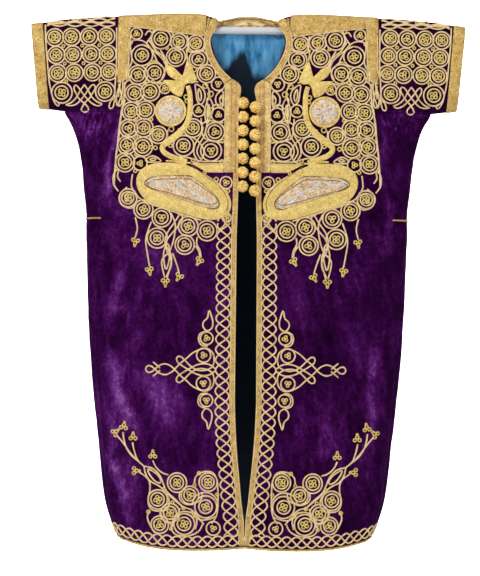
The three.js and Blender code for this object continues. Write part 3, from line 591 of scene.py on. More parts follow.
SATIN_HALF_WIDTH = 80
gold_satin = satin_material()
facing = finer_copy("back_neck_facing", "satin_back_neck_facing", 3)
move_by(facing, facing_shift)
facing.data.materials.append(gold_satin)
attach(facing, "root")
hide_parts("back_neck_facing")
for node, lowest in (("back_panel", -2), ("front_panel_right", 2), ("front_panel_left", 2)):
    cloth = cloth_pieces[node].data
    cloth.materials.append(gold_satin)
    for face in cloth.polygons:
        by_neck = face.center.z > lowest * MM and abs(face.center.x) < SATIN_HALF_WIDTH * MM
        if face.material_index == 1 and by_neck:
            face.material_index = 2


# ---------------------------------------------------------------- Gilt bands
# Bands of gilt thread couched in close rows on card, sewn over the edges and seams.
# They lie on the velvet and follow its creases. The placket is ribbed, with brown stitching.
def thread_grain_group():
    """The pebbled face of close couched thread: its height, and its shade: painted shade, darker in the
    hollows between the pebbles, mottled with wear.
    """
    group = bpy.data.node_groups.new("couched_grain", "ShaderNodeTree")
    for name, kind, way in [
            ("Vector", "NodeSocketVector", "INPUT"), ("Rows", "NodeSocketFloat", "INPUT"),
            ("Height", "NodeSocketFloat", "OUTPUT"), ("Shade", "NodeSocketFloat", "OUTPUT")]:
        group.interface.new_socket(name=name, in_out=way, socket_type=kind)
    nodes, links = group.nodes, group.links
    entry, leave = nodes.new("NodeGroupInput"), nodes.new("NodeGroupOutput")
    pebbles = nodes.new("ShaderNodeTexVoronoi")
    pebbles.feature = "SMOOTH_F1"
    pebbles.inputs["Smoothness"].default_value = 0.4
    links.new(entry.outputs["Vector"], pebbles.inputs["Vector"])
    links.new(entry.outputs["Rows"], pebbles.inputs["Scale"])
    grain = noise_on(nodes, links, entry.outputs["Vector"], 520, 3, 0.5)
    height = weighted(nodes, links, pebbles.outputs["Distance"], -0.9, grain)
    links.new(height, leave.inputs["Height"])
    worn = noise_on(nodes, links, entry.outputs["Vector"], 95, 6, 0.75)
    # Painted shade: the colour follows the height, darker in the hollows, with wear on top.
    links.new(weighted(nodes, links, height, 0.55, worn), leave.inputs["Shade"])
    return group


couched_grain = thread_grain_group()


def gilt_material(name, stops, metallic, roughness, rows):
    material, nodes, links, shader = new_material(
        name, Metallic=metallic, Roughness=roughness, Specular_IOR_Level=0.4)
    thread = nodes.new("ShaderNodeGroup")
    thread.node_tree = couched_grain
    thread.inputs["Rows"].default_value = rows
    links.new(place_of(nodes), thread.inputs["Vector"])
    color = ramp_between(nodes, links, thread.outputs["Shade"], stops)
    links.new(color, shader.inputs["Base Color"])
    bump_from(nodes, links, thread.outputs["Height"], 0.0008, 0.8, shader)
    return material, nodes, links, shader, color


band_gilt = gilt_material("band_gilt", [
    (0.2, (0.15, 0.07, 0.015, 1)), (0.4, (0.38, 0.22, 0.05, 1)),
    (0.6, (0.52, 0.34, 0.09, 1)), (0.82, (0.72, 0.55, 0.22, 1))], 0.2, 0.5, 430)[0]
bright_gilt = gilt_material("bright_gilt", [
    (0.12, (0.24, 0.14, 0.03, 1)), (0.4, (0.56, 0.38, 0.10, 1)),
    (0.6, (0.66, 0.48, 0.14, 1)), (0.84, (0.88, 0.72, 0.32, 1))], 0.2, 0.48, 430)[0]
silver_gilt = gilt_material("silver_gilt", [
    (0.2, (0.22, 0.11, 0.05, 1)), (0.4, (0.44, 0.27, 0.13, 1)),
    (0.6, (0.64, 0.47, 0.27, 1)), (0.85, (0.86, 0.74, 0.54, 1))], 0.2, 0.48, 380)[0]


PLACKET_INNER = 0.0165
PLACKET_OUTER = 0.0435


def wave_on(nodes, links, place, way, scale, distortion, detail_scale=1.0):
    """Even bands one way over a place, a little unsteady."""
    wave = nodes.new("ShaderNodeTexWave")
    wave.bands_direction = way
    wave.inputs["Scale"].default_value = scale
    wave.inputs["Distortion"].default_value = distortion
    wave.inputs["Detail Scale"].default_value = detail_scale
    links.new(place, wave.inputs["Vector"])
    return wave.outputs["Fac"]


def placket_material():
    """The band's gilt, with ribs across and two seams of brown stitches down it."""
    material, nodes, links, shader, gold = gilt_material("placket_gilt", [
        (0.16, (0.22, 0.12, 0.03, 1)), (0.4, (0.48, 0.32, 0.11, 1)),
        (0.6, (0.66, 0.49, 0.19, 1)), (0.84, (0.86, 0.72, 0.38, 1))], 0.2, 0.52, 430)
    at = nodes.new("ShaderNodeSeparateXYZ")
    links.new(place_of(nodes), at.inputs[0])
    out = nodes.new("ShaderNodeMath")
    out.operation = "ABSOLUTE"
    links.new(at.outputs["X"], out.inputs[0])
    strip = ranged(nodes, links, out.outputs[0], PLACKET_INNER, PLACKET_OUTER)
    browned = ramp_between(nodes, links, strip, [
        (0.0, (0.9, 0.84, 0.74, 1)), (0.16, (0.95, 0.9, 0.8, 1)), (0.19, (0.5, 0.36, 0.3, 1)),
        (0.24, (0.88, 0.79, 0.68, 1)), (0.47, (0.86, 0.75, 0.63, 1)), (0.5, (0.52, 0.38, 0.32, 1)),
        (0.55, (0.86, 0.75, 0.63, 1)), (0.68, (1, 0.95, 0.86, 1)), (1.0, (1, 0.96, 0.9, 1))])
    tinted = nodes.new("ShaderNodeMix")
    tinted.data_type = "RGBA"
    tinted.blend_type = "MULTIPLY"
    tinted.inputs["Factor"].default_value = 1.0
    links.new(gold, tinted.inputs["A"])
    links.new(browned, tinted.inputs["B"])
    links.new(tinted.outputs["Result"], shader.inputs["Base Color"])
    ribs = wave_on(nodes, links, place_of(nodes), "Z", 140, 1.2)
    bump_from(nodes, links, ribs, 0.0006, 0.5, shader,
              shader.inputs["Normal"].links[0].from_socket)
    return material


placket_gilt = placket_material()


sewn_on = {panel["node"]: [] for panel in panels}
band_pieces = []


def band_piece(node, shift, material, panel=None, levels=2):
    """A finer copy of a band or applique; panel is the cloth that it is sewn on."""
    piece = finer_copy(node, "gilt_" + node, levels)
    move_by(piece, shift)
    piece.data.materials.append(material)
    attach(piece, "root")
    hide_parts(node)
    band_pieces.append(piece)
    if panel:
        sewn_on[panel].append(piece)
    return piece


for side in ("right", "left"):
    front, gore, sleeve = f"front_panel_{side}", f"side_gore_{side}", f"sleeve_{side}"
    band_piece(f"placket_band_{side}", front_shift, placket_gilt, front)
    band_piece(f"chest_band_{side}", front_shift, bright_gilt, front)
    for band in ("front_edge_band", "hem_binding_front"):
        band_piece(f"{band}_{side}", front_shift, band_gilt, front)
    for band in ("armhole_band", "shoulder_band"):
        band_piece(f"{band}_{side}", neck_draw, band_gilt, front)
    for band in ("hem_binding_gore", "waist_cord"):
        band_piece(f"{band}_{side}", neck_draw, band_gilt, gore)
    band_piece(f"cuff_band_{side}", neck_draw, band_gilt, sleeve)
band_piece("neck_band", neck_draw, band_gilt, "back_panel")
band_piece("hem_binding_back", neck_draw, band_gilt, "back_panel")


def between(rows, at):
    """Reads a table of (place, value), its places falling."""
    if at >= rows[0][0]:
        return rows[0][1]
    for (high, first), (low, last) in zip(rows, rows[1:]):
        if at >= low:
            return first + (last - first) * (high - at) / (high - low)
    return rows[-1][1]


def neck_arch():
    """The neck band's stiff back edge, turned in over the top of the satin facing."""
    half, steps = 62, 48
    top_line = [(0, 25.4), (-15, 25), (-30, 23.4), (-45, 20.8), (-54, 18.6), (-half, 15)]
    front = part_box("back_neck_facing")[0].y
    work = bmesh.new()
    rows = []
    for step in range(steps + 1):
        x = -half + 2 * half * step / steps
        top = between(top_line, -abs(x))
        low = top - 3.6 - 17 * (x / half) ** 2
        y = front * (1 - 0.5 * (x / half) ** 2) - 2.6 * MM
        rows.append([work.verts.new((x * MM, y + deep * MM, z * MM)) for deep, z in (
            (0, low), (-0.3, (low + top) / 2), (0.3, top - 0.4), (1, top), (1.8, top - 0.5), (2, low))])
    for before, here in zip(rows, rows[1:]):
        for k in range(6):
            face = work.faces.new((before[k], here[k], here[(k + 1) % 6], before[(k + 1) % 6]))
            face.smooth = k < 5
    work.faces.new(rows[0])
    work.faces.new(rows[-1][::-1])
    bmesh.ops.recalc_face_normals(work, faces=work.faces)
    piece = piece_from(work, "gilt_neck_arch")
    piece.data.materials.append(band_gilt)
    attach(piece, "root")
    sewn_on["back_panel"].append(piece)
    band_pieces.append(piece)


neck_arch()


# ---------------------------------------------------------------- Padded appliques
# Two medallions, two leaves and two flowers on stems, cut in card, padded and covered with
# laid thread: silver in the medallions and inside the leaves, bright gilt on the rest.
for side in ("right", "left"):
    for node, material, slot in (
            ("medallion_ring", bright_gilt, "bright_gilt"), ("medallion_disc", silver_gilt, "silver_thread"),
            ("leaf_frame", bright_gilt, "bright_gilt"), ("leaf_insert", silver_gilt, "silver_thread"),
            ("flower", bright_gilt, "bright_gilt"), ("flower_stem", bright_gilt, "bright_gilt")):
        band_piece(f"{node}_{side}", front_shift, material)


# ---------------------------------------------------------------- Couched cord on the fronts
# Gilt cord laid on the velvet in rings, plaits and leaves, and held by small stitches. Finer
# eyelets in yellower thread fill the rings. Each run is worked out flat, then laid on the cloth.
def tree_of(pieces):
    work = bmesh.new()
    for piece in pieces:
        work.from_mesh(piece.data)
    tree = BVHTree.FromBMesh(work)
    work.free()
    return tree


cloth_tree = tree_of(cloth_pieces.values())


def on_front(side, out, z, tree, facing):
    """The outer face straight behind a place, outward from the opening and up, in mm."""
    seen_from = Vector((side * out * MM, -0.5 * facing, z * MM))
    spot, normal, _, _ = tree.ray_cast(seen_from, Vector((0, facing, 0)))
    if spot is None:
        spot, normal, _, _ = tree.find_nearest(Vector((side * out * MM, -0.03 * facing, z * MM)))
    if normal.y * facing > 0:
        normal = -normal
    return spot, normal


def lay_cord(work, uv_layer, spots, width, rise, closed):
    """A half-round cord along spots of (place, normal, lift), its base just in the pile."""
    sides, sunk = 4, 0.25
    count = len(spots)
    rows = []
    lengths = []
    travelled = 0.0
    for index, (spot, normal, lift) in enumerate(spots):
        before = spots[index - 1][0] if index or closed else spot
        after = spots[(index + 1) % count][0] if index + 1 < count or closed else spot
        sideways = (after - before).cross(normal).normalized()
        if index:
            travelled += (spot - spots[index - 1][0]).length
        lengths.append(travelled)
        row = []
        for step in range(sides + 1):
            turn = pi * step / sides
            up = sin(turn) * rise * MM + (lift - (sunk if step in (0, sides) else 0)) * MM
            row.append(work.verts.new(spot + sideways * cos(turn) * width * 0.5 * MM + normal * up))
        rows.append(row)
    for index in range(count if closed else count - 1):
        low, high = rows[index], rows[(index + 1) % count]
        start = lengths[index]
        end = lengths[index + 1] if index + 1 < count else travelled + 0.003
        for step in range(sides):
            face = work.faces.new((low[step], high[step], high[step + 1], low[step + 1]))
            face.smooth = True
            corners = ((start, step), (end, step), (end, step + 1), (start, step + 1))
            for loop, (u, v) in zip(face.loops, corners):
                loop[uv_layer].uv = (u * 100, v / sides)
    if not closed:
        work.faces.new(rows[0])
        work.faces.new(rows[-1][::-1])


def smooth_run(points, spacing, closed=False):
    """Evenly spaced points along a smooth curve through a few places."""
    dense = []
    count = len(points)
    for index in range(count if closed else count - 1):
        p0 = points[index - 1] if index or closed else points[0]
        p1 = points[index]
        p2 = points[(index + 1) % count]
        p3 = points[(index + 2) % count] if index + 2 < count or closed else p2
        steps = max(3, ceil(hypot(p2[0] - p1[0], p2[1] - p1[1]) / (spacing * 0.5)))
        for step in range(steps):
            q = step / steps
            dense.append(tuple(
                0.5 * (2 * b + (c - a) * q + (2 * a - 5 * b + 4 * c - d) * q * q
                       + (3 * b - a - 3 * c + d) * q ** 3)
                for a, b, c, d in zip(p0, p1, p2, p3)))
    if not closed:
        dense.append(tuple(points[-1]))
    even = [dense[0]]
    gone = 0.0
    for before, here in zip(dense, dense[1:]):
        gone += hypot(here[0] - before[0], here[1] - before[1])
        if gone >= spacing:
            even.append(here)
            gone = 0.0
    if not closed and len(even) > 1:
        even[-1] = dense[-1]
    return even


def cord_material(name, dark, light):
    material, nodes, links, shader = new_material(
        name, Metallic=0.05, Roughness=0.5, Specular_IOR_Level=0.4)
    along = nodes.new("ShaderNodeTexCoord")
    twist = wave_on(nodes, links, along.outputs["UV"], "DIAGONAL", 2.6, 0.6)
    worn = noise_on(nodes, links, along.outputs["Object"], 120, 4, 0.65)
    middle = tuple(0.4 * a + 0.6 * b for a, b in zip(dark, light))
    # Painted shade and highlight: the colour follows the twist, dark in the grooves between strands and pale
    # on their crowns, and is mottled with wear.
    links.new(ramp_between(nodes, links, weighted(nodes, links, twist, 0.4, worn), [
        (0.35, dark), (0.55, middle), (0.9, light)]), shader.inputs["Base Color"])
    bump_from(nodes, links, twist, 0.0005, 0.9, shader)
    return material


cord_gilt = cord_material("couched_cord", (0.40, 0.19, 0.07, 1), (1.0, 0.77, 0.40, 1))
eyelet_gilt = cord_material("eyelet_cord", (0.42, 0.23, 0.04, 1), (0.98, 0.74, 0.22, 1))
CORD = 3.0
CORD_RISE = 1.9
CORD_STEP = 2.6
EYELET = 2.5
WIDE_ROUNDEL = 14.5


def lay_on_front(name, runs, material=None, width=CORD, rise=CORD_RISE, tree=None, lift=0.0, facing=1):
    """Makes one piece of all the runs, mirrored on both sides; facing -1 is the back."""
    work = bmesh.new()
    uv_layer = work.loops.layers.uv.new("along")
    for side in (-1, 1):
        for order, (run, closed) in enumerate(runs):
            spots = []
            for index, (out, z, *over) in enumerate(run):
                spot, normal = on_front(side, out, z, tree or cloth_tree, facing)
                spots.append((spot, normal, lift + (over[0] if over else 0.3 * sin(index * 0.8 + order))))
            if len(spots) > 2:
                lay_cord(work, uv_layer, spots, width, rise, closed)
    bmesh.ops.recalc_face_normals(work, faces=work.faces)
    piece = piece_from(work, name)
    piece.data.materials.append(material or cord_gilt)
    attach(piece, "root")


def circle_run(out, z, radius, spacing=CORD_STEP):
    count = max(9, ceil(2 * pi * radius / spacing))
    return [(out + radius * cos(2 * pi * k / count), z + radius * sin(2 * pi * k / count))
            for k in range(count)], True


def line_run(points, closed=False):
    return smooth_run(points, 2.8, closed), closed


def rings_of(roundels):
    """The outer ring of each roundel, which laps its neighbour's, and a second inside it."""
    runs = []
    for out, z, radius in roundels:
        runs.append(circle_run(out, z, radius - 0.9))
        if radius > WIDE_ROUNDEL:
            runs.append(circle_run(out + 0.5, z + 0.3, min(12.2, radius - 6.2)))
    return runs


def eyelets_of(roundels, seeds=()):
    """A cluster of three or four eyelets in each roundel, and single ones between them."""
    runs = []
    for order, (out, z, radius) in enumerate(roundels):
        tight = radius < WIDE_ROUNDEL
        count = 3 if tight or order % 4 == 2 else 4
        away = 3.4 if tight else 4.1 if count == 3 else 4.7
        small = 2.5 if tight else 3.0
        for k in range(count):
            turn = 2 * pi * k / count + radians((out * 7 + z * 13) % 90)
            runs.append(circle_run(out + away * cos(turn), z + away * sin(turn), small, 2.0))
    for out, z, radius in seeds:
        runs.append(circle_run(out, z, radius, 2.0))
    return runs


def trefoils_of(rows, size=4.4):
    """Three small rings and a dot at each stem's tip; the last value is the stem's way, in degrees."""
    runs = []
    for out, z, turn in rows:
        for step in (-1, 0, 1):
            way = radians(turn + 100 * step)
            runs.append(circle_run(out + size * cos(way), z + size * sin(way), 2.9, 2.0))
        tip = radians(turn)
        runs.append(circle_run(out + size * 2.1 * cos(tip), z + size * 2.1 * sin(tip), 1.7, 1.6))
    return runs


# Half width of the front opening by height.
opening = [(-305, 16.5), (-390, 18.7), (-700, 19.5), (-760, 17), (-797, 13.5), (-835, 9.5),
           (-870, 6.3), (-893, 3), (-907, 1.3), (-960, 0.9)]
PLAIT = 57.0
PLAIT_HALF = 12.6


def plait_runs(start, end, middle_from_edge):
    """Three cords that pass over and under each other down the front edge."""
    runs = []
    steps = round((start - end) / CORD_STEP)
    for strand in range(3):
        run = []
        for step in range(steps + 1):
            z = start + (end - start) * step / steps
            turn = 2 * pi * (z / PLAIT + strand / 3)
            out = between(opening, z) + middle_from_edge + PLAIT_HALF * sin(turn)
            run.append((out, z, 0.55 + 0.55 * sin(2 * turn)))
        runs.append((run, False))
    return runs


# Roundels on the chest: outward from the opening, height and radius, in millimetres.
chest_roundels = [
    (208, -9, 11.5), (162, -19, 19.5), (129, -24, 16.5), (97, -27, 16.5),
    (197, -50, 20.5), (134, -53, 18.5), (92, -57, 18), (204, -87, 18.5), (173, -83, 19.3),
    (77, -84, 18), (55, -103, 13.5), (210, -121, 18.3), (181, -118, 18.5), (154, -112, 10.5),
    (91, -153, 12.5), (54, -161, 14.4), (216, -155, 17.8), (189, -153, 17.8),
    (220, -187, 17.8), (192, -186, 18), (165, -199, 17),
    (101, -186, 18), (60, -193, 18.5), (223, -218, 18), (193, -221, 18.5), (118, -219, 20),
    (67, -228, 20), (226, -250, 18.5), (198, -252, 14), (39, -287, 12),
]
chest_seeds = [
    (180, -3, 3.4), (100, -76, 4.5), (79, -107, 4.5), (69, -122, 5), (141, -188, 4.5), (126, -190, 2.6),
    (114, -128, 4), (113, -136, 3), (142, -219, 3.2), (170, -223, 3.4), (46, -210, 3.2),
    (47, -248, 3.4), (100, -246, 3), (57, -281, 3.6), (35, -302, 3), (219, -26, 3.2),
    (178, -222, 2.8), (207, -266, 3), (176, -100, 2.8), (47, -128, 2.6), (108, -166, 3), (78, -268, 2.6),
    (206, -203, 2.6), (178, -170, 2.6), (205, -138, 2.6), (207, -170, 2.4), (206, -236, 2.4),
    (151, -36, 2.6), (113, -40, 2.4), (112, -70, 2.8), (180, -63, 2.6), (190, -103, 2.4),
]
chest_lines = [
    line_run([(229, -100), (230, -140), (236, -170), (240, -210), (245, -262), (246, -292)]),
    line_run([(236, -100), (243, -124), (243, -138), (238, -146), (233, -138), (235, -122), (240, -104)]),
    line_run([(97, -104), (84, -112), (79, -126), (85, -141), (93, -136), (96, -120)], True),
    line_run([(91, -112), (86, -124), (88, -136), (92, -126)], True),
    line_run([(47, -116), (58, -124), (59, -138), (50, -149), (45, -138)], True),
    line_run([(47, -124), (52, -132), (49, -142), (46, -134)], True),
    line_run([(71, -130), (64, -146), (68, -164), (75, -178), (79, -160), (77, -142)], True),
    line_run([(72, -142), (70, -156), (74, -168), (75, -154)], True),
    line_run([(80, -103), (73, -112), (71, -124), (76, -134), (73, -150), (75, -178), (80, -200),
              (90, -218), (93, -232), (84, -246)]),
    line_run([(84, -180), (86, -198), (96, -214), (99, -232), (92, -246)]),
    line_run([(100, -204), (88, -214), (80, -230), (86, -246), (100, -252)]),
    line_run([(45, -176), (58, -174), (74, -172), (84, -178), (86, -168)]),
    line_run([(78, -206), (84, -196), (82, -184)]),
    line_run([(45, -212), (62, -211), (78, -206)]),
    line_run([(45, -247), (64, -248), (82, -248), (92, -246), (110, -241), (126, -240)]),
    line_run([(176, -2), (168, -2), (152, 1), (142, -6), (138, -16)]),
    line_run([(190, -28), (182, -16), (178, -8), (176, -2)]),
    line_run([(196, -30), (184, -36), (170, -46), (158, -58), (153, -68)]),
    line_run([(184, -22), (172, -40), (160, -50), (152, -62), (146, -78)]),
    line_run([(114, -12), (110, -28), (114, -44), (112, -60)]),
    line_run([(114, -40), (104, -44), (84, -40), (80, -28)]),
    line_run([(219, -12), (219, -36), (216, -62), (224, -80), (224, -98)]),
    line_run([(148, -190), (148, -204), (146, -212)]),
    line_run([(168, -104), (162, -102), (156, -101)]),
    line_run([(188, -246), (176, -238), (164, -243), (160, -249), (178, -250)], True),
    line_run([(180, -245), (174, -242), (168, -245), (174, -247)], True),
    line_run([(108, -72), (112, -84), (104, -96), (92, -100)]),
    line_run([(219, -30), (214, -22), (203, -21), (192, -25), (181, -37), (174, -50), (168, -64)]),
    line_run([(192, -12), (186, -4), (178, -8), (180, -20), (174, -34)]),
    line_run([(163, -40), (156, -52), (152, -64), (154, -80), (160, -94)]),
    line_run([(176, -60), (166, -64), (160, -72)]),
    line_run([(222, -66), (226, -76), (225, -100)]),
    line_run([(227, -134), (233, -150), (235, -168), (238, -200), (243, -235), (244, -268)]),
    line_run([(46, -152), (50, -144), (60, -142), (68, -150)]),
]
under_leaf_roundels = [
    (220, -316, 17.5), (191, -337, 18.5), (157, -352, 18.5), (108, -368, 19), (73, -376, 19.3),
    (165, -390, 19.4), (114, -402, 18.5), (37, -352, 9),
]
under_leaf_lines = [
    line_run([(212, -272), (214, -292), (210, -302)]),
    line_run([(209, -302), (199, -316), (180, -326), (160, -333), (126, -344), (100, -352), (84, -357)]),
    line_run([(222, -296), (235, -310), (232, -328), (214, -335), (204, -324), (207, -309), (219, -306),
              (226, -315), (220, -323)]),
    line_run([(234, -286), (240, -276), (238, -262), (247, -272), (247, -290), (238, -304)]),
    line_run([(206, -352), (202, -372), (206, -390)]),
    line_run([(176, -360), (182, -376), (186, -396), (182, -424), (178, -444)]),
    line_run([(140, -344), (132, -364), (134, -390), (142, -414), (156, -432), (150, -464)]),
    line_run([(124, -346), (134, -362), (146, -380), (150, -400), (138, -426), (146, -464)]),
    line_run([(128, -344), (118, -352), (130, -372), (146, -392), (148, -410), (138, -436), (148, -462)]),
    line_run([(136, -418), (128, -440), (124, -454)]),
    line_run([(94, -404), (88, -414), (86, -424)]),
    line_run([(91, -388), (92, -400), (86, -412), (84, -426)]),
    line_run([(54, -358), (48, -350), (40, -362), (52, -376)]),
    line_run([(146, -400), (153, -420), (148, -448), (141, -420)], True),
]
under_leaf_trefoils = [
    (205, -395, -80), (179, -448, -100), (149, -469, -90), (123, -459, -60), (86, -430, -60)]

# The knot at each side, mirrored up and down: two cords cross from the tip to the plait.
side_roundels = [(77.4, -604.7, 13.8), (77.4, -656, 13.8), (72, -573.5, 12.5), (71.6, -687, 12.5)]
knot_cord = [
    (168, -633), (160, -625), (148, -621), (136, -626), (126, -636), (118, -644), (109, -651), (98, -661),
    (84, -668), (72, -670), (61, -662), (58, -648), (62, -636), (74, -630), (88, -630), (101, -637),
    (113, -649), (121, -655), (127, -652), (125, -644), (114, -636), (104, -630), (91, -623), (77, -620),
    (66, -622), (56, -629)]
knot_twig = [(170, -618), (163, -624), (157, -629)]
knot_tear = [(72, -560), (79, -552), (78, -543), (71, -536), (68, -522), (64, -532), (61, -544), (63, -555)]
knot_link = [(72, -560), (84, -565), (87, -575), (82, -586), (70, -588)]
side_lines = [line_run([(168, -631), (173, -626), (180, -625), (184, -631), (180, -637), (173, -636)], True)]
for way in (1, -1):
    for points, closed in ((knot_cord, False), (knot_twig, False), (knot_tear, True), (knot_link, False)):
        side_lines.append(line_run([(out, -631 + way * (z + 631)) for out, z in points], closed))

# The corner piece at each hem corner, with doubled stems that end in trefoils.
corner_roundels = [
    (124, -838, 18.5), (67, -836, 17.5), (100, -860, 17), (71, -881, 21), (159, -869, 18.5),
    (136, -893, 18), (155, -915, 17), (110, -913, 20), (57, -920, 13.5),
]
corner_seeds = [(148, -850, 2.8), (92, -842, 2.6), (112, -884, 3), (90, -898, 3), (132, -874, 2.8),
                (176, -892, 3), (50, -858, 2.8), (84, -820, 2.8), (134, -922, 2.6)]
corner_lines = [
    line_run([(236, -755), (224, -768), (210, -787), (195, -801), (185, -809)]),
    line_run([(225, -748), (223, -762), (218, -777), (208, -791), (195, -801)]),
    line_run([(207, -766), (204, -780), (198, -797), (191, -805)]),
    line_run([(169, -798), (163, -810), (152, -820), (140, -824)]),
    line_run([(193, -821), (181, -829), (174, -839), (174, -856)]),
    line_run([(185, -809), (182, -823), (173, -836), (156, -845), (136, -863), (113, -881), (97, -887),
              (84, -901), (74, -913)]),
    line_run([(185, -809), (169, -813), (156, -825), (149, -841), (142, -855), (124, -871), (111, -885)]),
    line_run([(178, -814), (174, -825), (165, -835), (155, -839), (155, -831), (164, -821)], True),
    line_run([(92, -840), (90, -827), (78, -818), (60, -818), (51, -832), (49, -853), (49, -880),
              (52, -898), (60, -911)]),
    line_run([(119, -855), (119, -867), (111, -875), (97, -877), (80, -868), (78, -856)]),
    line_run([(96, -878), (92, -864), (80, -856), (64, -856), (52, -866), (48, -880)]),
    line_run([(131, -918), (130, -904), (122, -894), (108, -890), (94, -894), (87, -906), (90, -922)]),
    line_run([(118, -884), (122, -896), (118, -908)]),
    line_run([(97, -887), (93, -897), (80, -905), (64, -903), (52, -898)]),
    line_run([(154, -886), (154, -898), (146, -909), (134, -912)]),
    line_run([(134, -912), (132, -926), (121, -934), (101, -934), (84, -926), (76, -912)]),
    line_run([(174, -856), (177, -872), (171, -887), (156, -890), (142, -886), (138, -871), (144, -859)]),
    line_run([(174, -888), (178, -902), (172, -918), (164, -930)]),
]
corner_trefoils = [(241, -750, 140), (224, -739, 100), (206, -758, 90), (169, -790, 90), (203, -818, 180)]

lay_on_front("cord_chest", rings_of(chest_roundels) + chest_lines)
lay_on_front("strap_filling", [
    line_run([(131, -247.6), (118, -250.2), (104, -250.6)]),
    line_run([(150, -247.4), (136, -247.8), (122, -251.4), (112, -253.6)])], eyelet_gilt, 3.4)
lay_on_front("eyelets_chest", eyelets_of(chest_roundels, chest_seeds), eyelet_gilt, EYELET)
lay_on_front("cord_under_leaf", rings_of(under_leaf_roundels) + under_leaf_lines)
lay_on_front("eyelets_under_leaf", eyelets_of(under_leaf_roundels) + trefoils_of(under_leaf_trefoils),
             eyelet_gilt, EYELET)
lay_on_front("cord_side_motif", rings_of(side_roundels) + side_lines)
lay_on_front("eyelets_side_motif", eyelets_of(side_roundels), eyelet_gilt, EYELET)
lay_on_front("cord_corner", rings_of(corner_roundels) + corner_lines)
lay_on_front("eyelets_corner", eyelets_of(corner_roundels, corner_seeds) + trefoils_of(corner_trefoils),
             eyelet_gilt, EYELET)
lay_on_front("cord_front_plait", plait_runs(-362, -934, 23.5))


# ---------------------------------------------------------------- Cord along the bands
# A fine gilt cord covers each cut edge of the bands, and brown silk outlines the appliques. A brown silk
# cord across the lower part of the neck arch is painted shadow, for the thin shadow line under it.
band_tree = tree_of(list(cloth_pieces.values()) + band_pieces)
band_edges = [
    line_run([(18, -130), (18, -200), (18, -266)]),
    line_run([(41.8, -106), (41.8, -180), (41.8, -250)]),
    line_run([(44, -252.3), (72, -252.3), (103, -252.3)]),
    line_run([(44, -267), (58, -267), (73, -267)]),
    line_run([(31, -94), (38, -88), (45.5, -81), (53.5, -71), (60.5, -59), (66.6, -46.5), (71, -30),
              (71.3, -17), (65.6, -5), (58.5, 4), (55, 11)]),
    line_run([(43, -102.5), (47, -96), (54, -87), (62, -75.5), (70, -62), (76.2, -48.6), (80.9, -31),
              (81.2, -16), (78, -5), (71.5, 5), (68, 13)]),
    line_run([(84, -12.6), (96, -10.6), (116.5, -8), (139, -5.6), (161, -2.6), (183.5, 0.4), (206, 3.4),
              (218, 4.4)]),
    line_run([(221.5, -20), (221.5, -50), (221.5, -80)]),
    line_run([(240.5, -10), (240.5, -50), (240.5, -80)]),
]
band_edges.append(([(between(opening, z) + 9.0, z) for z in range(-345, -948, -4)], False))
band_edges.append(([(between(opening, z) + 1.0, z) for z in range(-272, -952, -4)], False))
band_edges.append(line_run([(220.2, -2), (220.2, 8), (220.2, 16), (220.2, 22)]))
lay_on_front("neck_joins", [
    line_run([(82.6, -13), (80.5, -5), (76.5, 4), (74.5, 12), (74, 22)]),
    line_run([(74.5, -2), (71.5, 6), (69.5, 13), (68.5, 20)])], band_gilt, 5.0, 1.2, band_tree)
lay_on_front("cord_band_edges", band_edges, width=2.2, rise=1.1, tree=band_tree)

brown_silk = cord_material("brown_silk", (0.10, 0.045, 0.02, 1), (0.30, 0.16, 0.09, 1))
leaf_inner = [(190, -289), (177, -278), (150, -275), (122, -275), (104, -275.5), (82, -291), (60, -310),
              (51, -323), (53, -333), (64, -336), (85, -330), (120, -318), (150, -308), (177, -299)]
LEAF_MIDDLE = (118, -300)


def drawn_in(points, step):
    """A closed outline moved a little towards the middle of the leaf."""
    moved = []
    for out, z in points:
        away = hypot(out - LEAF_MIDDLE[0], z - LEAF_MIDDLE[1])
        moved.append((LEAF_MIDDLE[0] + (out - LEAF_MIDDLE[0]) * (away - step) / away,
                      LEAF_MIDDLE[1] + (z - LEAF_MIDDLE[1]) * (1 - 0.8 * step / 18)))
    return moved


strap = [(107, -251.5), (88, -266.5), (70, -279), (56, -290), (41, -307), (35, -325), (38, -340)]
lay_on_front("silk_outlines", [
    line_run(leaf_inner, True), line_run(drawn_in(leaf_inner, 5), True), line_run(strap)],
    brown_silk, 1.3, 0.9, band_tree, 0.1)
# Painted shadow: a dark silk cord along the lower part of the neck arch stands for the thin shadow under the
# arch.
lay_on_front("neck_shadow_cord", [
    line_run([(0.5, 22.7), (15, 22.1), (30, 20.2), (42, 17.6), (51, 14.5)])],
    brown_silk, 1.9, 1.0, band_tree, 0.1)

# Silver cord on the leaf and the medallion: a curling stem of flowers, and a rosette between bars.
silver_cord = cord_material("silver_cord", (0.72, 0.64, 0.55, 1), (1.0, 0.97, 0.91, 1))
silver_runs = [
    line_run([(185, -287), (176, -283), (165, -289), (153, -288), (139, -284), (124.5, -293.5),
              (111, -299), (98, -307), (88, -311), (77, -319), (63, -326)]),
    line_run([(148, -291), (141, -299), (131, -301), (127, -297)]),
    line_run([(136, -285), (127, -282), (117, -286), (113, -293)]),
    line_run([(118, -297), (112, -309), (101, -313), (97, -310)]),
    line_run([(104, -303), (97, -296), (88, -301), (86, -308)]),
    line_run([(92, -310), (88, -320), (80, -324), (75, -322)]),
    line_run([(170, -287), (165, -296), (158, -296)]),
]
for out, z in ((176, -287), (153, -288), (124.5, -292), (98, -306), (77, -318), (62, -326)):
    for turn in range(18, 378, 72):
        way = radians(turn)
        petal = [(out + far * cos(way + lean), z + far * sin(way + lean))
                 for far, lean in ((0.8, 0), (3.6, -0.42), (6.4, 0), (3.6, 0.42))]
        silver_runs.append(line_run(petal, True))
MEDAL = (142.5, -154.5)
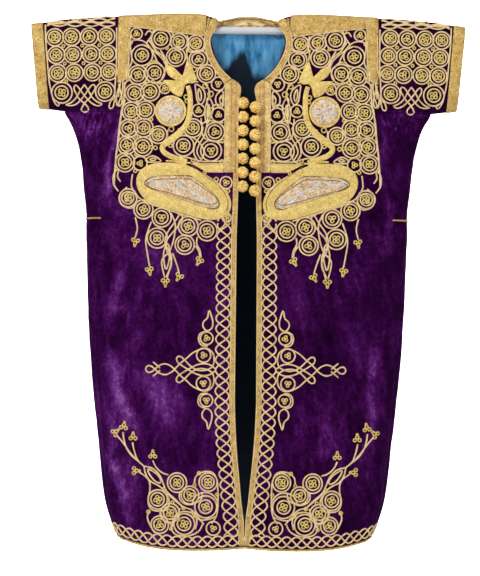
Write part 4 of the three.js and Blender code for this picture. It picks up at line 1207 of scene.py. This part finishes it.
for turn in range(0, 360, 45):
    way = radians(turn + 22.5)
    tip = (MEDAL[0] + 21 * cos(way), MEDAL[1] + 21 * sin(way))
    for lean in (-0.35, 0.35):
        bend = (MEDAL[0] + 12 * cos(way + lean), MEDAL[1] + 12 * sin(way + lean))
        silver_runs.append(line_run([(MEDAL[0] + 2 * cos(way), MEDAL[1] + 2 * sin(way)), bend, tip]))
for rise in (-2.4, 0, 2.4):
    for way in (-1, 1):
        silver_runs.append(([(MEDAL[0] + way * k, MEDAL[1] + rise) for k in (8, 13, 18, 23)], False))
lay_on_front("silver_work", silver_runs, silver_cord, 1.8, 1.1, band_tree, 0.15)


# ---------------------------------------------------------------- Couched cord on the sleeves
# Four columns of roundels with a knot below, and wavy cords crossing over the shoulder.
sleeve_roundels = [
    (360, -17, 17), (329, -16, 17), (296, -15, 17), (264, -14, 16.5),
    (357, -50, 17), (326, -49, 17), (292, -48, 17), (261, -47, 16.5),
    (354, -84, 17), (323, -83, 17), (289, -82, 17), (258, -81, 16.5),
    (346, -120, 20), (265, -118, 19),
]
sleeve_seeds = [(344, -33, 2.6), (309, -32, 2.6), (277, -31, 2.6), (341, -66, 2.6), (306, -65, 2.6),
                (274, -64, 2.6), (338, -99, 2.6), (274, -98, 2.6), (241, -143, 2.6)]
sleeve_lines = [
    line_run([(304, -105), (312, -117), (318, -128), (328, -138), (338, -142)]),
    line_run([(304, -105), (296, -117), (290, -128), (280, -137), (270, -141)]),
    line_run([(318, -124), (323, -114), (322, -107), (317, -108), (305, -124), (296, -134), (288, -141),
              (278, -145), (270, -142)]),
    line_run([(290, -123), (284, -113), (285, -106), (291, -107), (303, -124), (312, -135), (320, -142),
              (330, -144), (339, -142)]),
    line_run([(318, -124), (314, -131), (305, -139), (297, -147), (296, -154), (303, -157), (309, -153),
              (307, -146), (301, -137), (293, -129), (290, -123)]),
    line_run([(378, 6), (377, -24), (374, -58), (370, -98), (366, -118), (362, -133), (357, -142),
              (351, -144), (353, -138), (358, -135)]),
    line_run([(245, 2), (244.5, -38), (244.5, -72), (246, -99), (247, -122), (246, -139)]),
    line_run([(247, -131), (254, -136), (257, -146), (255, -150), (250, -148), (247, -136)], True),
]
for rise, swing, phase in ((8, 4, 0), (8, 4, pi), (15, 4, pi / 2), (15, 4, -pi / 2), (20, 3, 0)):
    sleeve_lines.append(
        ([(248 + k * CORD_STEP, rise + swing * sin(k * CORD_STEP / 9.5 + phase)) for k in range(50)], False))
armhole_end_lines = [
    line_run([(224, -92), (232, -98), (232, -109), (234, -124), (238, -136), (240, -142)]),
    line_run([(238, -96), (237, -104), (239, -115), (240, -129)]),
    line_run([(218, -88), (220, -96), (227, -102), (229, -115), (230, -135), (232, -149)]),
]
for facing, word in ((1, "front"), (-1, "back")):
    lay_on_front(f"cord_sleeves_{word}", rings_of(sleeve_roundels) + sleeve_lines, facing=facing)
    lay_on_front(f"eyelets_sleeves_{word}", eyelets_of(sleeve_roundels, sleeve_seeds),
                 eyelet_gilt, EYELET, facing=facing)
lay_on_front("cord_armhole_ends", armhole_end_lines, tree=band_tree)


# ---------------------------------------------------------------- Couched cord on the back yoke
# A row of roundels hangs from the shoulder fold on each side of the back neck.
yoke_places = (84, 117, 150, 183, 216)
yoke_roundels = [(out, -6 - 0.02 * out, 16.5) for out in yoke_places]
yoke_trefoils = [(out, -30 - 0.02 * out, -90) for out in yoke_places]
yoke_lines = []
for phase in (0, pi):
    wave = [(66 + k * CORD_STEP, 21 + 4.5 * sin(k * CORD_STEP / 8 + phase)) for k in range(64)]
    yoke_lines.append((wave, False))
lay_on_front("cord_back_yoke", rings_of(yoke_roundels) + yoke_lines, facing=-1)
lay_on_front("eyelets_back_yoke", eyelets_of(yoke_roundels) + trefoils_of(yoke_trefoils),
             eyelet_gilt, EYELET, facing=-1)


# ---------------------------------------------------------------- Couched cord round the hem
# The same plait runs round the whole hem, over fronts, gores and back.
def around(turn, z):
    """The cloth's outer face at a height, seen in from a way round the body."""
    way = Vector((sin(turn), -cos(turn), 0))
    centre = Vector((way.x * 0.14, 0, z))
    spot, normal, _, _ = cloth_tree.ray_cast(centre + way * 0.6, -way)
    if normal.dot(way) < 0:
        normal = -normal
    return spot, normal


# The hem's height by its place outward, in millimetres, the places written minus.
hem_line = [(0, -956), (-60, -961), (-120, -962), (-180, -957), (-215, -950), (-243, -941)]
HEM_PLAIT = 55.5
HEM_PLAIT_RISE = 16.5
HEM_PLAIT_HALF = 9.8


def hem_plait():
    """Starts and ends beside the front opening, and keeps to the hem's rise and fall."""
    work = bmesh.new()
    uv_layer = work.loops.layers.uv.new("along")
    steps = 720
    turns = [radians(2.0) + (2 * pi - radians(4.0)) * step / steps for step in range(steps + 1)]
    walk = [around(turn, -0.935)[0] for turn in turns]
    lengths = [0.0]
    for before, here in zip(walk, walk[1:]):
        lengths.append(lengths[-1] + (here - before).length)
    total = lengths[-1]
    samples = round(total / (CORD_STEP * MM))
    for strand in range(3):
        spots = []
        index = 0
        for sample in range(samples + 1):
            goal = total * sample / samples
            while index < steps - 1 and lengths[index + 1] < goal:
                index += 1
            q = (goal - lengths[index]) / max(1e-9, lengths[index + 1] - lengths[index])
            turn = turns[index] + (turns[index + 1] - turns[index]) * q
            low = between(hem_line, -abs(walk[index].x) / MM)
            phase = 2 * pi * (goal / MM / HEM_PLAIT + strand / 3)
            spot, normal = around(turn, (low + HEM_PLAIT_RISE + HEM_PLAIT_HALF * sin(phase)) * MM)
            spots.append((spot, normal, 0.5 + 0.5 * sin(2 * phase)))
        lay_cord(work, uv_layer, spots, CORD, CORD_RISE, False)
    bmesh.ops.recalc_face_normals(work, faces=work.faces)
    piece = piece_from(work, "cord_hem_plait")
    piece.data.materials.append(cord_gilt)
    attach(piece, "root")


hem_plait()


# ---------------------------------------------------------------- Ball buttons
# Seven each side: a round core wound with gilt thread in eight lobes, and sewn close beside the
# opening, so that the two columns nearly meet.
def button_material():
    material, nodes, links, shader = new_material(
        "wound_thread", Roughness=0.55, Specular_IOR_Level=0.3)
    along = nodes.new("ShaderNodeTexCoord")
    wound = wave_on(nodes, links, along.outputs["UV"], "DIAGONAL", 4.0, 2.5, 3.0)
    worn = noise_on(nodes, links, along.outputs["Object"], 160, 4, 0.6)
    # Painted shade and highlight: the colour follows the winding, dark brown in its grooves and pale on its
    # crowns, mottled with wear.
    links.new(ramp_between(nodes, links, weighted(nodes, links, wound, 0.35, worn), [
        (0.44, (0.32, 0.13, 0.02, 1)), (0.6, (0.80, 0.46, 0.09, 1)), (0.86, (0.96, 0.74, 0.28, 1)),
    ]), shader.inputs["Base Color"])
    bump_from(nodes, links, wound, 0.001, 0.8, shader)
    return material


BUTTON_RADIUS = 11.2
BUTTON_LOBES = 8
BUTTON_OUT = 0.6
wound_thread = button_material()
bpy.ops.object.select_all(action="DESELECT")
bpy.ops.mesh.primitive_uv_sphere_add(segments=32, ring_count=16, radius=BUTTON_RADIUS * MM)
pattern = bpy.context.active_object
for vertex in pattern.data.vertices:
    turn = atan2(vertex.co.y, vertex.co.x)
    flat = hypot(vertex.co.x, vertex.co.y) / (BUTTON_RADIUS * MM)
    lobe = 1 - 0.13 * flat * (0.5 + 0.5 * cos(BUTTON_LOBES * turn)) ** 3
    vertex.co.x *= lobe
    vertex.co.y *= lobe
smooth_all(pattern)
pattern.data.materials.append(wound_thread)
for side in ("right", "left"):
    for number in range(1, 8):
        node = f"button_{side}_{number}"
        low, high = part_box(node)
        middle = (low + high) / 2
        middle.x += BUTTON_OUT * MM if side == "left" else -BUTTON_OUT * MM
        button = new_piece("wound_" + node, pattern.data.copy())
        lean = Matrix.Rotation(radians(62 + 9 * (number % 3)), 4, "X")
        tilt = Matrix.Rotation(radians(23 * number), 4, "Z")
        button.data.transform(Matrix.Translation(middle) @ lean @ tilt)
        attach(button, "root")
        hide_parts(node)
bpy.data.objects.remove(pattern)


# ---------------------------------------------------------------- Display bar
# A plain pale bar through both sleeves, deeper inside the shoulders, where it carries the fold.
def bar_material():
    material, nodes, links, shader = new_material("pale_bar", Roughness=0.5, Specular_IOR_Level=0.4)
    faint = noise_on(nodes, links, place_of(nodes), 24, 3, 0.5, (0.2, 1, 1))
    links.new(ramp_between(nodes, links, faint, [
        (0.3, (0.45, 0.45, 0.47, 1)), (0.7, (0.55, 0.55, 0.57, 1))]), shader.inputs["Base Color"])
    bump_from(nodes, links, noise_on(nodes, links, place_of(nodes), 400, 2, 0.5), 0.0002, 0.3, shader)
    return material


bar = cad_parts["hanger_bar"]
bar.data.materials.clear()
bar.data.materials.append(bar_material())
